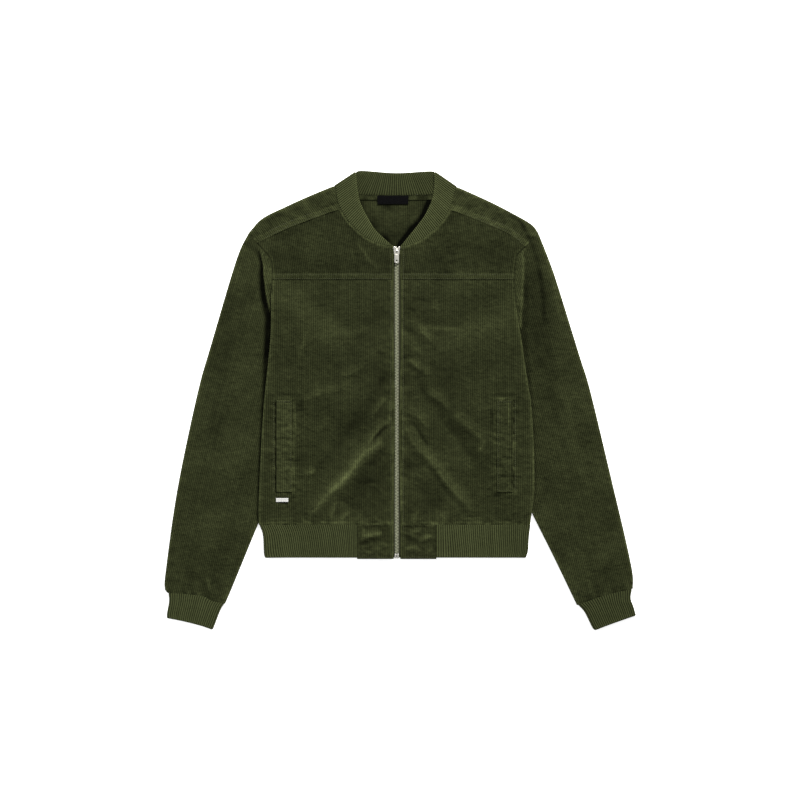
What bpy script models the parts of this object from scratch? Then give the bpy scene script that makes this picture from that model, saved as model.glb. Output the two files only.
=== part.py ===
"""Corduroy zip jacket with rib collar, hem and cuffs, closed and laid flat on its back.

Every cut piece is one closed solid at its real size. Sizes are millimetres: X to the right, Y towards the
collar, Z up from the surface that the back lies on. "left" is -X. The origin is on that surface, under the
middle of the jacket. The sleeves lie beside the body and their inner edges go under its sides.
"""
import math

import bmesh
import bpy
from mathutils import Vector

MM = 0.001

# Cloth, knit and the gap that parts two pieces at a seam
CLOTH = 1.5
RIB = 2.6
RIB_PITCH = 3.2
RIB_RISE = 0.5
SEAM = 0.3
HALF = SEAM / 2

# Body lines
HEM_Y = -192.5
CHEST_Y = 186.0
HEM_FOOT_Y = -243.5
BLOCK_FOOT_Y = -245.5
ZIP_X = -6.0
FRONT_EDGE = 5.6       # from the zip's middle to a front's edge
NECK_MIDDLE = (ZIP_X, 300.0)

# Heights: how far the layers stand apart
SLEEVE_UNDER = 3.7     # whole sleeve where the body lies on it
SLEEVE_PUFF = 1.5      # what it gains out in the open
SLEEVE_MOST = 6.6
BODY_LIFT = 4.3        # back panel over the sleeve
LIFT_MARGIN = 12.0
LIFT_REACH = 50.0
AIR_SIDE = 1.2         # between back and front
AIR_ZIP = 2.9
AIR_ZIP_REACH = 120.0
AIR_NECK = 2.4
AIR_ARM = 2.2
AIR_ARM_REACH = 45.0
AIR_MOST = 3.9

# Ribs: the distance between the middles of a band's lower and upper wall
COLLAR_STACK = 3.7
HEM_STACK = 3.1
CUFF_STACK = 3.0
CUFF_REST = 9          # spans of a cuff's plain underside
HEM_BLOCK_Z = (4.4, 6.4)

# Zip
CHAIN_WIDTH = 5.9
CHAIN_Z = (2.95, 5.0)
TAPE_Z = (3.3, 4.1)
TAPE_WIDTH = 15.0
SLIDER_FOOT_Y = 226.0
PIVOT_Y = 231.5
PIVOT_Z = 8.05
ZIP_FOOT_Y = -237.0
ZIP_END_Y = -244.8
ZIP_END_X = (0.4, 3.3)
ZIP_END_Z = (2.95, 5.2)
# the slider seen from above: half widths with their y
SLIDER = [(4.2, 226.0), (4.4, 231.0), (5.2, 234.5), (5.2, 237.8), (2.6, 237.8)]
SLIDER_NOTCH_Y = 235.2
SLIDER_LEVELS = [(2.4, 0.9), (2.9, 1.0), (5.9, 1.0), (6.25, 1.15), (7.0, 1.1)]
ARCH_IN, ARCH_OUT, ARCH_HALF, ARCH_FOOT_Z = 1.15, 2.25, 0.9, 6.6
TAB_HALF = 3.5
TAB_THICK = 1.2
TAB_HOLE_HALF = 1.5
TAB_Y = (0.6, -0.6, -5.6, -14.8, -16.8, -19.6)     # from the pivot: top, eye, hole, foot

# Outlines, each a list of (x, y)
SIDES = {
    "left": {
        "sign": -1,
        "shoulder": [(-104, 332), (-146, 314.5), (-180, 299), (-214.3, 281.6), (-236, 258.5)],
        "strip_seam": [(-95.5, 296), (-146, 277.5), (-180, 264), (-222.5, 243.5)],
        "armhole": [(-236, 258.5), (-222.5, 243.5), (-206.5, 226), (-200.5, 213.5), (-199, 193.5),
                    (-199.5, 176.5), (-200.5, 158), (-200.5, 134.5)],
        "underarm": (-127.5, 77.5),
        "side": [(-200.5, 134.5), (-201.5, 96), (-206, 49.5), (-211, 1.5), (-215.5, -62),
                 (-219.5, -155), (-219.5, -192.5)],
        "outer": [(-236, 258.5), (-254.5, 217), (-293.4, 86.5), (-314.2, 12), (-345.4, -136.5),
                  (-364, -267), (-365, -292.5)],
        "inner": [(-127.5, 77.5), (-180, -93), (-220.2, -190.5), (-260, -287.5), (-271.6, -314.5)],
        "cuff_seam": [(-365, -292.5), (-359, -298.5), (-346, -298.5), (-308.5, -302.5),
                      (-293, -309.5), (-271.6, -314.5)],
        "cuff_outer": [(-359.5, -299.5), (-358.4, -311.5), (-361.6, -329), (-361.6, -337)],
        "cuff_inner": [(-272, -315.5), (-278, -323.5), (-289, -351), (-291.5, -355)],
        "cuff_foot": [(-361.6, -337), (-336, -342), (-308.5, -349), (-291.5, -355)],
        "neck_seam": [(-11.6, 238.8), (-28, 241), (-46.5, 248), (-64.5, 261), (-80, 277),
                      (-92.5, 296.5), (-98, 313), (-100.6, 330)],
        "neck_edge": [(-13, 239.6), (-27, 252), (-40, 265), (-54, 288.5), (-63.5, 310),
                      (-67.5, 332.5), (-68.6, 351.2)],
        "hem_edge": [(-218, -192.5), (-212.5, -208), (-211, -236), (-209.3, -243.5)],
        "hem_block": -67.5,
        "back_corner": (-103.7, 327.6),
        "welt": (-192.5, -167.5),
        "columns": (-192.5, -180, -167.5, -150, -132, -114, -96, -78, -60, -44, -30),
        # y, width of the sleeve cloth that stands beside the armhole seam
        "strip": [(258.5, 0), (243, 3), (218.5, 13), (193.5, 13.5), (167, 9), (134.5, 1)],
    },
    "right": {
        "sign": 1,
        "shoulder": [(89, 330), (134.5, 309.5), (168.3, 292.4), (202, 273), (213.5, 259)],
        "strip_seam": [(77.5, 295.5), (134.5, 272.5), (168, 257.5), (193, 237.5)],
        "armhole": [(213.5, 259), (193, 237.5), (180.5, 223.5), (178, 204.5), (176, 185), (178, 164),
                    (180.5, 134.5), (184, 110)],
        "underarm": (100, 66),
        "side": [(184, 110), (187, 94), (191, 65), (196.5, 29), (202, -6.5), (205, -53), (206.5, -91.5),
                 (206.5, -141.5), (203, -172.5), (200.5, -192.5)],
        "outer": [(213.5, 259), (230, 217), (243, 179.5), (277.5, 68), (294.5, 12), (330, -136.5),
                  (347.6, -211), (359.2, -267), (359.8, -291.5)],
        "inner": [(100, 66), (164, -93), (203.5, -175), (238.8, -246), (272.9, -317)],
        "cuff_seam": [(359.8, -291.5), (333, -297.5), (313, -302.5), (293.5, -309.5), (272.9, -317)],
        "cuff_outer": [(358, -292.5), (356.4, -307.5), (360.5, -319), (364.5, -333)],
        "cuff_inner": [(274.2, -318), (284.8, -329), (296.2, -351), (300.6, -356)],
        "cuff_foot": [(364.5, -333), (352.5, -337), (327, -346), (300.6, -356)],
        "neck_seam": [(-0.4, 238.8), (10, 239.5), (30, 247.5), (50, 262.5), (67, 281), (77, 301),
                      (82, 318), (85, 328.5)],
        "neck_edge": [(1, 239.8), (11, 252), (25.5, 270), (37.5, 286.5), (48, 309), (51.5, 330),
                      (52, 351.2)],
        "hem_edge": [(200.5, -192.5), (198, -212.5), (196.8, -232.5), (193.2, -243.5)],
        "hem_block": 55.5,
        "back_corner": (88.5, 326.4),
        "welt": (173.5, 148.5),
        "columns": (173.5, 161, 148.5, 132, 114, 96, 78, 60, 44, 30, 14),
        "strip": [(259, 0), (237, 2), (218.5, 11.5), (188, 14.5), (164, 11.5), (134.5, 7.5), (110, 3)],
    },
}
BACK_NECK = [(-100.6, 330), (-85.5, 322.5), (-63.5, 319), (-6.5, 318), (46.5, 319), (68, 322.5),
             (85, 328.5)]
BACK_COLLAR_TOP = [(-68.6, 351.2), (-61, 355.8), (-6.5, 352.3), (46, 355), (52, 351.2)]
WELT_Y = (-142.0, 0.0)
WELT_THICK = 1.5
TAG_X = (-192.5, -173.5)
TAG_Y = (-157.0, -151.0)
LABEL_X = (-36.0, 12.0)
LABEL_Y = (303.5, 317.0)
TRIM = 0.8             # thickness of the neck tape
LABEL_THICK = 0.5
TAG_THICK = 0.6
NECK_TAPE_X = (-84, 68)
NECK_TAPE_FOOT = 8.4   # below the back neck seam

# The largest folds: route, height (a trough is negative) and half width
FRONT_FOLDS = [
    ([(-17, -28), (-33, -62), (-60, -88), (-96, -131), (-124, -166)], 1.3, 10.0),
    ([(-22, -62), (-48, -98), (-84, -142), (-104, -172)], -1.0, 10.0),
    ([(8, -50), (24, -74), (63, -115), (96, -156)], 1.3, 10.0),
    ([(14, -84), (40, -116), (66, -146)], -1.0, 10.0),
    ([(38, 14), (63, 1), (101, -38), (128, -66)], 0.8, 12.0),
]
SLEEVE_FOLDS = [
    ([(-262, 170), (-273, 136), (-285, -18), (-296, -90)], -0.9, 14.0),
    ([(210, 214), (220, 164), (228, 90), (236, -18), (250, -80)], -1.1, 12.0),
    ([(-330, -262), (-322, -296)], -0.7, 7.0),
    ([(318, -258), (316, -292)], -0.7, 7.0),
]


# ---- Lines and heights ----

def smooth(share):
    """0 to 1, flat at both ends."""
    share = min(max(share, 0.0), 1.0)
    return share * share * (3 - 2 * share)


def mix(a, b, share):
    return a + (b - a) * share


def smooth_line(points, steps=8):
    """A fine polyline on the Catmull-Rom curve through the points."""
    knots = [Vector(p) for p in points]
    knots = [2 * knots[0] - knots[1]] + knots + [2 * knots[-1] - knots[-2]]
    line = []
    for a, b, c, d in zip(knots, knots[1:], knots[2:], knots[3:]):
        for step in range(steps):
            t = step / steps
            line.append(0.5 * (2 * b + (c - a) * t + (2 * a - 5 * b + 4 * c - d) * t ** 2
                               + (3 * b - a - 3 * c + d) * t ** 3))
    line.append(knots[-2])
    return line


def length(line):
    return sum((b - a).length for a, b in zip(line, line[1:]))


def along(line, share):
    """The point at a share of the line's length."""
    left = share * length(line)
    for a, b in zip(line, line[1:]):
        step = (b - a).length
        if left <= step and step > 0:
            return a.lerp(b, left / step)
        left -= step
    return line[-1].copy()


def x_at(line, y):
    """Where a line that runs down the body crosses a height y."""
    for a, b in zip(line, line[1:]):
        if (a.y - y) * (b.y - y) <= 0 and a.y != b.y:
            return a.lerp(b, (y - a.y) / (b.y - a.y)).x
    return line[0].x if abs(y - line[0].y) < abs(y - line[-1].y) else line[-1].x


def y_at(line, x):
    """Where a line that runs across the body crosses a distance x."""
    return x_at([Vector((p.y, p.x)) for p in line], x)


def read_table(rows, y):
    """A width read from rows of (y, width) that run down the body."""
    for (y0, w0), (y1, w1) in zip(rows, rows[1:]):
        if y1 <= y <= y0:
            return mix(w0, w1, (y0 - y) / (y0 - y1))
    return rows[0][1] if y > rows[0][0] else rows[-1][1]


def from_line(point, line):
    """Distance from a point to a polyline, and the share of the line at its nearest place."""
    best = None
    run = 0.0
    for a, b in zip(line, line[1:]):
        step = (b - a).length
        share = min(max((point - a).dot(b - a) / step ** 2, 0), 1)
        gap = (point - a.lerp(b, share)).length
        if best is None or gap < best[0]:
            best = (gap, run + share * step)
        run += step
    return best[0], best[1] / run


def fold_height(folds, x, y):
    """Height of the soft ridges and troughs at a point."""
    height = 0.0
    for route, rise, width in folds:
        gap, share = from_line(Vector((x, y)), route)
        if gap < 3 * width:
            height += rise * math.exp(-(gap / width) ** 2) * math.sin(math.pi * share) ** 0.5
    return height


for table in (FRONT_FOLDS, SLEEVE_FOLDS):
    table[:] = [([Vector(p) for p in route], rise, width) for route, rise, width in table]
LINES = {name: {key: smooth_line(value) for key, value in side.items()
                if key in ("shoulder", "strip_seam", "armhole", "side", "outer", "inner", "cuff_seam",
                           "cuff_outer", "cuff_inner", "cuff_foot", "neck_seam", "neck_edge", "hem_edge")}
         for name, side in SIDES.items()}


def side_of(x):
    return "left" if x < ZIP_X else "right"


def lift(x, y):
    """How far the sleeve underneath lifts the body's side."""
    side = SIDES[side_of(x)]
    armhole_end = Vector(side["armhole"][-1])
    underarm = Vector(side["underarm"])
    gap_start = Vector(side["inner"][2])
    point = Vector((x, y))

    def outside(a, b, sign):
        edge = (b - a).normalized()
        return sign * (edge.x * (point - a).y - edge.y * (point - a).x)

    above = max(outside(armhole_end, underarm, -side["sign"]), 0)
    within = max(outside(underarm, gap_start, -side["sign"]), 0)
    return BODY_LIFT * (1 - smooth((math.hypot(above, within) - LIFT_MARGIN) / LIFT_REACH))


def air(x, y):
    """Space between the back and the front."""
    name = side_of(x)
    beside_zip = smooth(1 - (abs(x - ZIP_X) - 20) / AIR_ZIP_REACH)
    beside_neck = smooth(1 - (math.hypot(x - NECK_MIDDLE[0], y - NECK_MIDDLE[1]) - 70) / 90)
    arm_gap = abs(x - x_at(LINES[name]["armhole"], max(y, 150)))
    beside_arm = smooth(1 - arm_gap / AIR_ARM_REACH) * smooth((y - 150) / 40)
    space = AIR_SIDE + max((AIR_ZIP - AIR_SIDE) * beside_zip, (AIR_NECK - AIR_SIDE) * beside_neck,
                           (AIR_ARM - AIR_SIDE) * beside_arm)
    creased = space + fold_height(FRONT_FOLDS, x, y)
    least = AIR_ZIP if abs(x - ZIP_X) < 20 else AIR_SIDE / 2
    return min(max(creased, least), AIR_MOST)


def front_top(x, y):
    return lift(x, y) + 2 * CLOTH + air(x, y)


def sleeve_top(name, x, y):
    """Height of a sleeve's upper face: raised beside the armhole, low beside the body, then full."""
    side, lines = SIDES[name], LINES[name]
    end_y = side["armhole"][-1][1]
    if y > end_y:
        out = side["sign"] * (x - x_at(lines["armhole"], y))
        strip = read_table(side["strip"], y)
        seam_x = x_at(lines["armhole"], y)
        step = min(front_top(seam_x, y), SLEEVE_MOST) - SLEEVE_UNDER
        raised = step * smooth((y - end_y - 20) / 30) * (1 - smooth((out - strip + 1) / 4))
    else:
        out = side["sign"] * (x - x_at(lines["side"], max(y, HEM_Y))) + max(HEM_Y - y, 0) / 2
        strip = 0
        raised = 0
    puff = smooth((out - strip) / 45)
    full = SLEEVE_UNDER + max(raised, SLEEVE_PUFF * puff)
    return full + fold_height(SLEEVE_FOLDS, x, y) * puff


# ---- Solids ----

def new_object(name, bm, material):
    bmesh.ops.recalc_face_normals(bm, faces=bm.faces)
    mesh = bpy.data.meshes.new(name)
    bm.to_mesh(mesh)
    bm.free()
    mesh.materials.append(material)
    piece = bpy.data.objects.new(name, mesh)
    bpy.context.scene.collection.objects.link(piece)
    return piece


def wall(name, material, outer, inner, round_about=False):
    """A closed wall between two matching grids of points, open at its ends if it goes round about."""
    bm = bmesh.new()
    skins = [[[bm.verts.new((p[0] * MM, p[1] * MM, p[2] * MM)) for p in row] for row in grid]
             for grid in (outer, inner)]
    rows, columns = len(outer), len(outer[0])
    steps = columns if round_about else columns - 1

    def patch(a, b, c, d):
        bm.faces.new((a, b, c))
        bm.faces.new((a, c, d))

    for skin in skins:
        for i in range(rows - 1):
            for j in range(steps):
                k = (j + 1) % columns
                patch(skin[i][j], skin[i][k], skin[i + 1][k], skin[i + 1][j])
    for i in (0, rows - 1):
        for j in range(steps):
            k = (j + 1) % columns
            patch(skins[0][i][j], skins[0][i][k], skins[1][i][k], skins[1][i][j])
    if not round_about:
        for j in (0, columns - 1):
            for i in range(rows - 1):
                patch(skins[0][i][j], skins[0][i + 1][j], skins[1][i + 1][j], skins[1][i][j])
    return new_object(name, bm, material)


def shares(points):
    run = [0.0]
    for a, b in zip(points, points[1:]):
        run.append(run[-1] + (b - a).length)
    return [r / run[-1] for r in run]


def coons(start, end, first, last):
    """A grid of plan points inside four edges: rows from first to last, columns from start to end."""
    u_first, u_last = shares(first), shares(last)
    v_start, v_end = shares(start), shares(end)
    grid = []
    for i in range(len(start)):
        v = (v_start[i] + v_end[i]) / 2
        row = []
        for j in range(len(first)):
            u = mix(u_first[j], u_last[j], v)
            ruled = start[i].lerp(end[i], u) + first[j].lerp(last[j], v)
            corners = first[0].lerp(first[-1], u).lerp(last[0].lerp(last[-1], u), v)
            row.append(ruled - corners)
        grid.append(row)
    return grid


def raise_grid(plan, height):
    return [[(p.x, p.y, height(p.x, p.y)) for p in row] for row in plan]


def block(name, material, low, high):
    corners = [[(x, y) for x in (low[0], high[0])] for y in (low[1], high[1])]
    return wall(name, material, *[[[(x, y, z) for x, y in row] for row in corners]
                                  for z in (high[2], low[2])])


def armhole_points(name):
    """The armhole's points that sleeve, fronts, back and shoulder strip all share."""
    side, line = SIDES[name], LINES[name]["armhole"]
    tip, corner, end = side["armhole"][0][1], side["strip_seam"][-1][1], side["armhole"][-1][1]
    spans = ((tip, corner, 2), (corner, CHEST_Y, 6), (CHEST_Y, end, 4))
    heights = [mix(a, b, k / n) for a, b, n in spans for k in range(n)] + [end]
    return [Vector((x_at(line, y), y)) for y in heights]


CORNER, CHEST = 2, 8      # places in the list of armhole points
UNDERSIDE = (2, 4, 6, 8, 10, 12)


def shifted(points, dx, dy=0.0):
    return [p + Vector((dx, dy)) for p in points]


def sleeve_mouth(name):
    """A sleeve's points along the armhole and on, under the body, to the underarm."""
    side = SIDES[name]
    armhole = shifted(armhole_points(name), side["sign"] * HALF)
    return armhole + [armhole[-1].lerp(Vector(side["underarm"]), k / 3) for k in range(1, 4)]


def cuff_seam(name):
    """The seam of sleeve and cuff, through the points that the sleeve's underside has."""
    at = shares(sleeve_mouth(name))
    picked = [at[0]] + [at[k] for k in UNDERSIDE] + at[-3:]
    return [along(LINES[name]["cuff_seam"], share) for share in picked]


def edge_rows(name):
    """Rows of a body side from the hem seam up to the end of the armhole."""
    end = SIDES[name]["armhole"][-1][1]
    heights = [HEM_Y + HALF, -180, -165, WELT_Y[0], -120, -96, -72, -48, -24, WELT_Y[1], 26, 52, 78]
    return [y for y in heights if y < end - 12] + [end - 9]


def rolled_edge(under, top, curl, part):
    """Cross section of a body side: (distance from the edge, z) for the outer and the inner face.

    part is 1 on the front and -1 on the back. With no curl the edge is cut square.
    """
    radius = (top - under) / 2
    middle = (top + under) / 2
    outer, inner = [], []
    for turn in (0.0, 45.0, 90.0):
        c, s = math.cos(math.radians(turn)), math.sin(math.radians(turn))
        rounded = middle + part * max(radius * s, HALF)
        hollow = middle + part * max((radius - CLOTH) * s, HALF)
        square = top if part > 0 else under
        outer.append((radius * (1 - c), mix(square, rounded, curl)))
        inner.append((mix(radius * (1 - c), radius - (radius - CLOTH) * c, curl),
                      mix(square - part * CLOTH, hollow, curl)))
    return outer, inner


def curl_at(name, y):
    end = SIDES[name]["armhole"][-1][1]
    return 1 - smooth((y - end) / 30)


# ---- Pieces ----

def front_lower(name, material):
    side, lines = SIDES[name], LINES[name]
    sign = side["sign"]
    zip_edge = ZIP_X + sign * FRONT_EDGE
    armhole = armhole_points(name)[CHEST:]
    rows = [(x_at(lines["side"], y), y) for y in edge_rows(name)]
    rows += [(p.x, p.y) for p in reversed(armhole)]
    rows[-1] = (rows[-1][0], CHEST_Y - HALF)
    outer, inner = [], []
    for edge, y in rows:
        edge -= sign * (HALF if y >= armhole[-1].y else 0)
        under = lift(edge, y)
        top = front_top(edge - sign * 3, y)
        bent = rolled_edge(under, top, curl_at(name, y), 1)
        rims = [[(edge - sign * d, y, z) for d, z in face] for face in bent]
        between = mix(edge - sign * 2.6, side["columns"][0], 0.5)
        flat = [between] + list(side["columns"]) + [zip_edge + sign * 4, zip_edge]
        outer.append(rims[0] + [(x, y, front_top(x, y)) for x in flat])
        inner.append(rims[1] + [(x, y, front_top(x, y) - CLOTH) for x in flat])
    wall(f"front_lower_{name}", material, outer, inner)
    return outer


def welt(name, material, panel):
    """A pocket welt made from the panel's own points, moved out."""
    side = SIDES[name]
    columns = [4, 5, 6]
    rows = [row for row in panel if WELT_Y[0] - 1 < row[0][1] < WELT_Y[1] + 1]
    assert abs(rows[0][columns[0]][0] - side["welt"][0]) < 1
    low = [[(row[j][0], row[j][1], row[j][2] + SEAM) for j in columns] for row in rows]
    high = [[(x, y, z + WELT_THICK) for x, y, z in row] for row in low]
    wall(f"welt_{name}", material, high, low)


def front_upper(name, material):
    side, lines = SIDES[name], LINES[name]
    sign = side["sign"]
    zip_edge = ZIP_X + sign * FRONT_EDGE
    armhole = shifted(list(reversed(armhole_points(name)[CORNER:CHEST + 1])), -sign * HALF)
    armhole[0].y += HALF
    armhole[-1] += Vector((-sign * HALF, -HALF))
    seam = [along(lines["strip_seam"], 1 - k / 7) for k in range(7)]
    seam = shifted(seam, 0, -SEAM)
    corner = along(lines["strip_seam"], 0) + Vector((0, -SEAM))
    top = [armhole[-1]] + seam[1:] + [corner] + list(reversed(neck_points(name)))
    top[-1].x = zip_edge
    foot = [armhole[0].lerp(Vector((zip_edge, CHEST_Y + HALF)), share) for share in shares(top)]
    zip_side = [foot[-1].lerp(top[-1], share) for share in shares(armhole)]
    plan = coons(armhole, zip_side, foot, top)
    outer = raise_grid(plan, front_top)
    inner = raise_grid(plan, lambda x, y: front_top(x, y) - CLOTH)
    wall(f"front_upper_{name}", material, outer, inner)


def neck_points(name):
    """The fronts' neck edge from the zip up to the shoulder strip, clear of the collar."""
    line = LINES[name]["neck_seam"]
    points = []
    for k in range(10):
        here, ahead = along(line, k / 14), along(line, (k + 0.5) / 14)
        way = (ahead - here).normalized()
        out = Vector((way.y, -way.x)) * SIDES[name]["sign"]
        points.append(here + out * 1.5 * SEAM)
    return points


def shoulder_strip(name, material):
    """A strip over the shoulder: front part, round the fold, and the same width on the back."""
    side, lines = SIDES[name], LINES[name]
    sign = side["sign"]
    outer, inner = [], []
    count = 7
    for k in range(count + 1):
        seam = along(lines["strip_seam"], k / count)
        fold = along(lines["shoulder"], k / count)
        if k == 0:
            seam = seam + Vector((sign * 1.2, 0.2))
            fold = fold + Vector((sign * 1.2, -0.4))
        if k == count:
            corner, tip = armhole_points(name)[CORNER], armhole_points(name)[0]
            seam = corner + Vector((-sign * HALF, HALF))
            fold = tip + Vector((-sign * SEAM, HALF))
        way = fold - seam
        wide = way.length
        way = way / wide
        top = front_top(seam.x, seam.y)
        radius = top / 2

        def at(distance, z):
            return (seam.x + way.x * distance, seam.y + way.y * distance, z)

        face = [at(0.1, top), at((wide - radius) / 2, top)]
        face += [at(wide - radius + radius * math.cos(math.radians(t)),
                    radius + radius * math.sin(math.radians(t))) for t in (90, 45, 0, -45, -90)]
        face += [at((wide - radius) / 2, 0), at(0.1, 0)]
        hollow = radius - CLOTH
        back = [at(0.1, top - CLOTH), at((wide - radius) / 2, top - CLOTH)]
        back += [at(wide - radius + hollow * math.cos(math.radians(t)),
                    radius + hollow * math.sin(math.radians(t))) for t in (90, 45, 0, -45, -90)]
        back += [at((wide - radius) / 2, CLOTH), at(0.1, CLOTH)]
        outer.append(face)
        inner.append(back)
    wall(f"shoulder_{name}", material, outer, inner)


def back_panel(material):
    """One panel from the hem to the neck, lifted at its sides by the sleeves under it."""
    edges = {}
    for name, side in SIDES.items():
        sign, lines = side["sign"], LINES[name]
        armhole = armhole_points(name)
        points = [Vector((x_at(lines["side"], y), y)) for y in edge_rows(name)]
        points += [armhole[k] + Vector((-sign * SEAM, 0)) for k in reversed(UNDERSIDE)]
        points[-1] += Vector((-sign * HALF, -HALF))
        seam = [along(lines["strip_seam"], 1 - k / 3) for k in range(1, 4)]
        points += shifted(seam[:-1], 0, -SEAM)
        neck_end = along(lines["strip_seam"], 0)
        points.append(neck_end + Vector((sign * 2 * SEAM, -SEAM)))
        points.append(Vector(side["back_corner"]))
        edges[name] = points
    while len(edges["left"]) < len(edges["right"]):
        edges["left"].insert(1, edges["left"][0].lerp(edges["left"][1], 0.5))
    while len(edges["right"]) < len(edges["left"]):
        edges["right"].insert(1, edges["right"][0].lerp(edges["right"][1], 0.5))
    count = len(edges["left"])
    # columns stand closest where the sleeves lift the panel
    across = (0.0, 0.04, 0.085, 0.13, 0.175, 0.22, 0.265, 0.31, 0.37, 0.5, 0.6, 0.66, 0.705, 0.75, 0.795,
              0.84, 0.885, 0.925, 0.96, 1.0)
    neck = smooth_line(BACK_NECK)
    outer, inner = [], []
    for i in range(count):
        a, b = edges["left"][i], edges["right"][i]
        rims = {}
        for name, point in (("left", a), ("right", b)):
            sign = SIDES[name]["sign"]
            curl = curl_at(name, point.y)
            bent = rolled_edge(lift(point.x, point.y), front_top(point.x - sign * 3, point.y), curl, -1)
            rims[name] = [[(point.x - sign * d, point.y, z) for d, z in face] for face in bent]
        middle = []
        near, far = Vector((a.x + 3.2, a.y)), Vector((b.x - 3.2, b.y))
        for share in across:
            p = near.lerp(far, share)
            if i == count - 1:
                p.y = y_at(neck, p.x) - SEAM
            middle.append(p)
        faces = []
        for face, rise in ((0, 0.0), (1, CLOTH)):
            row = list(rims["left"][face])
            row += [(p.x, p.y, lift(p.x, p.y) + rise) for p in middle]
            row += list(reversed(rims["right"][face]))
            faces.append(row)
        outer.append(faces[0])
        inner.append(faces[1])
    wall("back", material, outer, inner)


def sleeve(name, material):
    """A flattened tube from the armhole to the cuff, its inner edge under the body."""
    lines = LINES[name]
    mouth = sleeve_mouth(name)
    mouth_shares = shares(mouth)
    shoulder_tip, underarm = mouth[0], mouth[-1]
    cuff_line = shifted(cuff_seam(name), 0, SEAM)
    whole = length(lines["outer"])
    reaches = [d / whole for d in (0, 4, 12, 17, 28, 48, 78, 115, 160, 215, 280, 350, 425, 500)] + [1.0]

    def plan(s, t):
        """Plan point at a share s from the outer edge to the inner and t from armhole to cuff."""
        k = 0
        while k < len(mouth) - 2 and mouth_shares[k + 1] < s:
            k += 1
        start = mouth[k].lerp(mouth[k + 1], (s - mouth_shares[k]) / (mouth_shares[k + 1] - mouth_shares[k]))
        end = along(cuff_line, s)
        outer, inner = along(lines["outer"], t), along(lines["inner"], t)
        corners = shoulder_tip.lerp(underarm, s).lerp(cuff_line[0].lerp(cuff_line[-1], s), t)
        return outer.lerp(inner, s) + start.lerp(end, t) - corners

    over = [mouth_shares[k] for k in range(1, len(mouth) - 1)]
    below = [mouth_shares[k] for k in (14, 13) + tuple(reversed(UNDERSIDE))]
    outer_rings, inner_rings = [], []
    for t in reaches:
        across = (plan(1, t) - plan(0, t)).length
        rings = []
        for inset in (0.0, CLOTH):
            ring = []
            for edge, turns in ((0, (0, 45, 90)), (1, (90, 45, 0, -45, -90)), (0, (-90, -45))):
                if edge == 1:
                    for s in over:
                        p = plan(s, t)
                        ring.append((p.x, p.y, sleeve_top(name, p.x, p.y) - inset))
                if turns[0] == -90:
                    for s in below:
                        p = plan(s, t)
                        ring.append((p.x, p.y, inset))
                for turn in turns:
                    rim = plan(edge, t)
                    top = sleeve_top(name, rim.x, rim.y)
                    radius = top / 2
                    bend = radius - inset
                    reach = (radius - bend * math.cos(math.radians(turn))) / across
                    p = plan(abs(edge - reach), t)
                    ring.append((p.x, p.y, radius + bend * math.sin(math.radians(turn))))
            rings.append(ring)
        outer_rings.append(rings[0])
        inner_rings.append(rings[1])
    wall(f"sleeve_{name}", material, outer_rings, inner_rings, round_about=True)


def cuff(name, material):
    """A rib cuff: a short flattened tube, ribs on its upper face, plain where it rests."""
    lines = LINES[name]
    ribs = round(length(lines["cuff_foot"]) / RIB_PITCH)
    top = RIB + CUFF_STACK
    radius = top / 2
    foot = lines["cuff_foot"]
    seam = cuff_seam(name)
    outer, inner = [], []
    for v in (0.0, 0.45, 1.0):
        a, b = along(lines["cuff_outer"], v), along(lines["cuff_inner"], v)

        def at(share, z):
            p = a.lerp(b, share)
            top_edge = lines["cuff_outer"][0].lerp(lines["cuff_inner"][0], share)
            seam_bow = y_at(seam, top_edge.x) - SEAM - top_edge.y
            foot_bow = along(foot, share).y - foot[0].lerp(foot[-1], share).y
            return (p.x, p.y + mix(seam_bow, foot_bow, v), z)

        wide = (b - a).length
        first, last = radius / wide, 1 - radius / wide
        flat = [mix(first, last, k / (2 * ribs)) for k in range(2 * ribs + 1)]
        rest = [mix(last, first, k / CUFF_REST) for k in range(CUFF_REST + 1)]
        ring = [at(s, top + (RIB_RISE if k % 2 else 0)) for k, s in enumerate(flat)]
        ring += [at(last + math.cos(math.radians(t)) * radius / wide,
                    radius + radius * math.sin(math.radians(t))) for t in (45, 0, -45)]
        ring += [at(s, 0) for s in rest]
        ring += [at(first - math.cos(math.radians(t)) * radius / wide,
                    radius + radius * math.sin(math.radians(t))) for t in (-45, 0, 45)]
        outer.append(ring)
        hollow = radius - RIB
        hole = [at(s, top - RIB) for s in flat]
        hole += [at(last + math.cos(math.radians(t)) * hollow / wide,
                    radius + hollow * math.sin(math.radians(t))) for t in (45, 0, -45)]
        hole += [at(s, RIB) for s in rest]
        hole += [at(first - math.cos(math.radians(t)) * hollow / wide,
                    radius + hollow * math.sin(math.radians(t))) for t in (-45, 0, 45)]
        inner.append(hole)
    wall(f"rib_cuff_{name}", material, outer, inner, round_about=True)


def band(name, material, stations, rows):
    """A rib band: stations along it give the middle of the wall, its facing and the ribs' rise."""
    outer, inner = [], []
    for v in rows:
        faces = ([], [])
        for station in stations:
            middle, facing = station["middle"](v), station["facing"](v)
            for face, way in ((0, 1), (1, -1)):
                thick = RIB / 2 + station["rise"][face]
                faces[face].append(tuple(middle[k] + way * facing[k] * thick for k in range(3)))
        outer.append(faces[0])
        inner.append(faces[1])
    wall(name, material, outer, inner)


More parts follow.
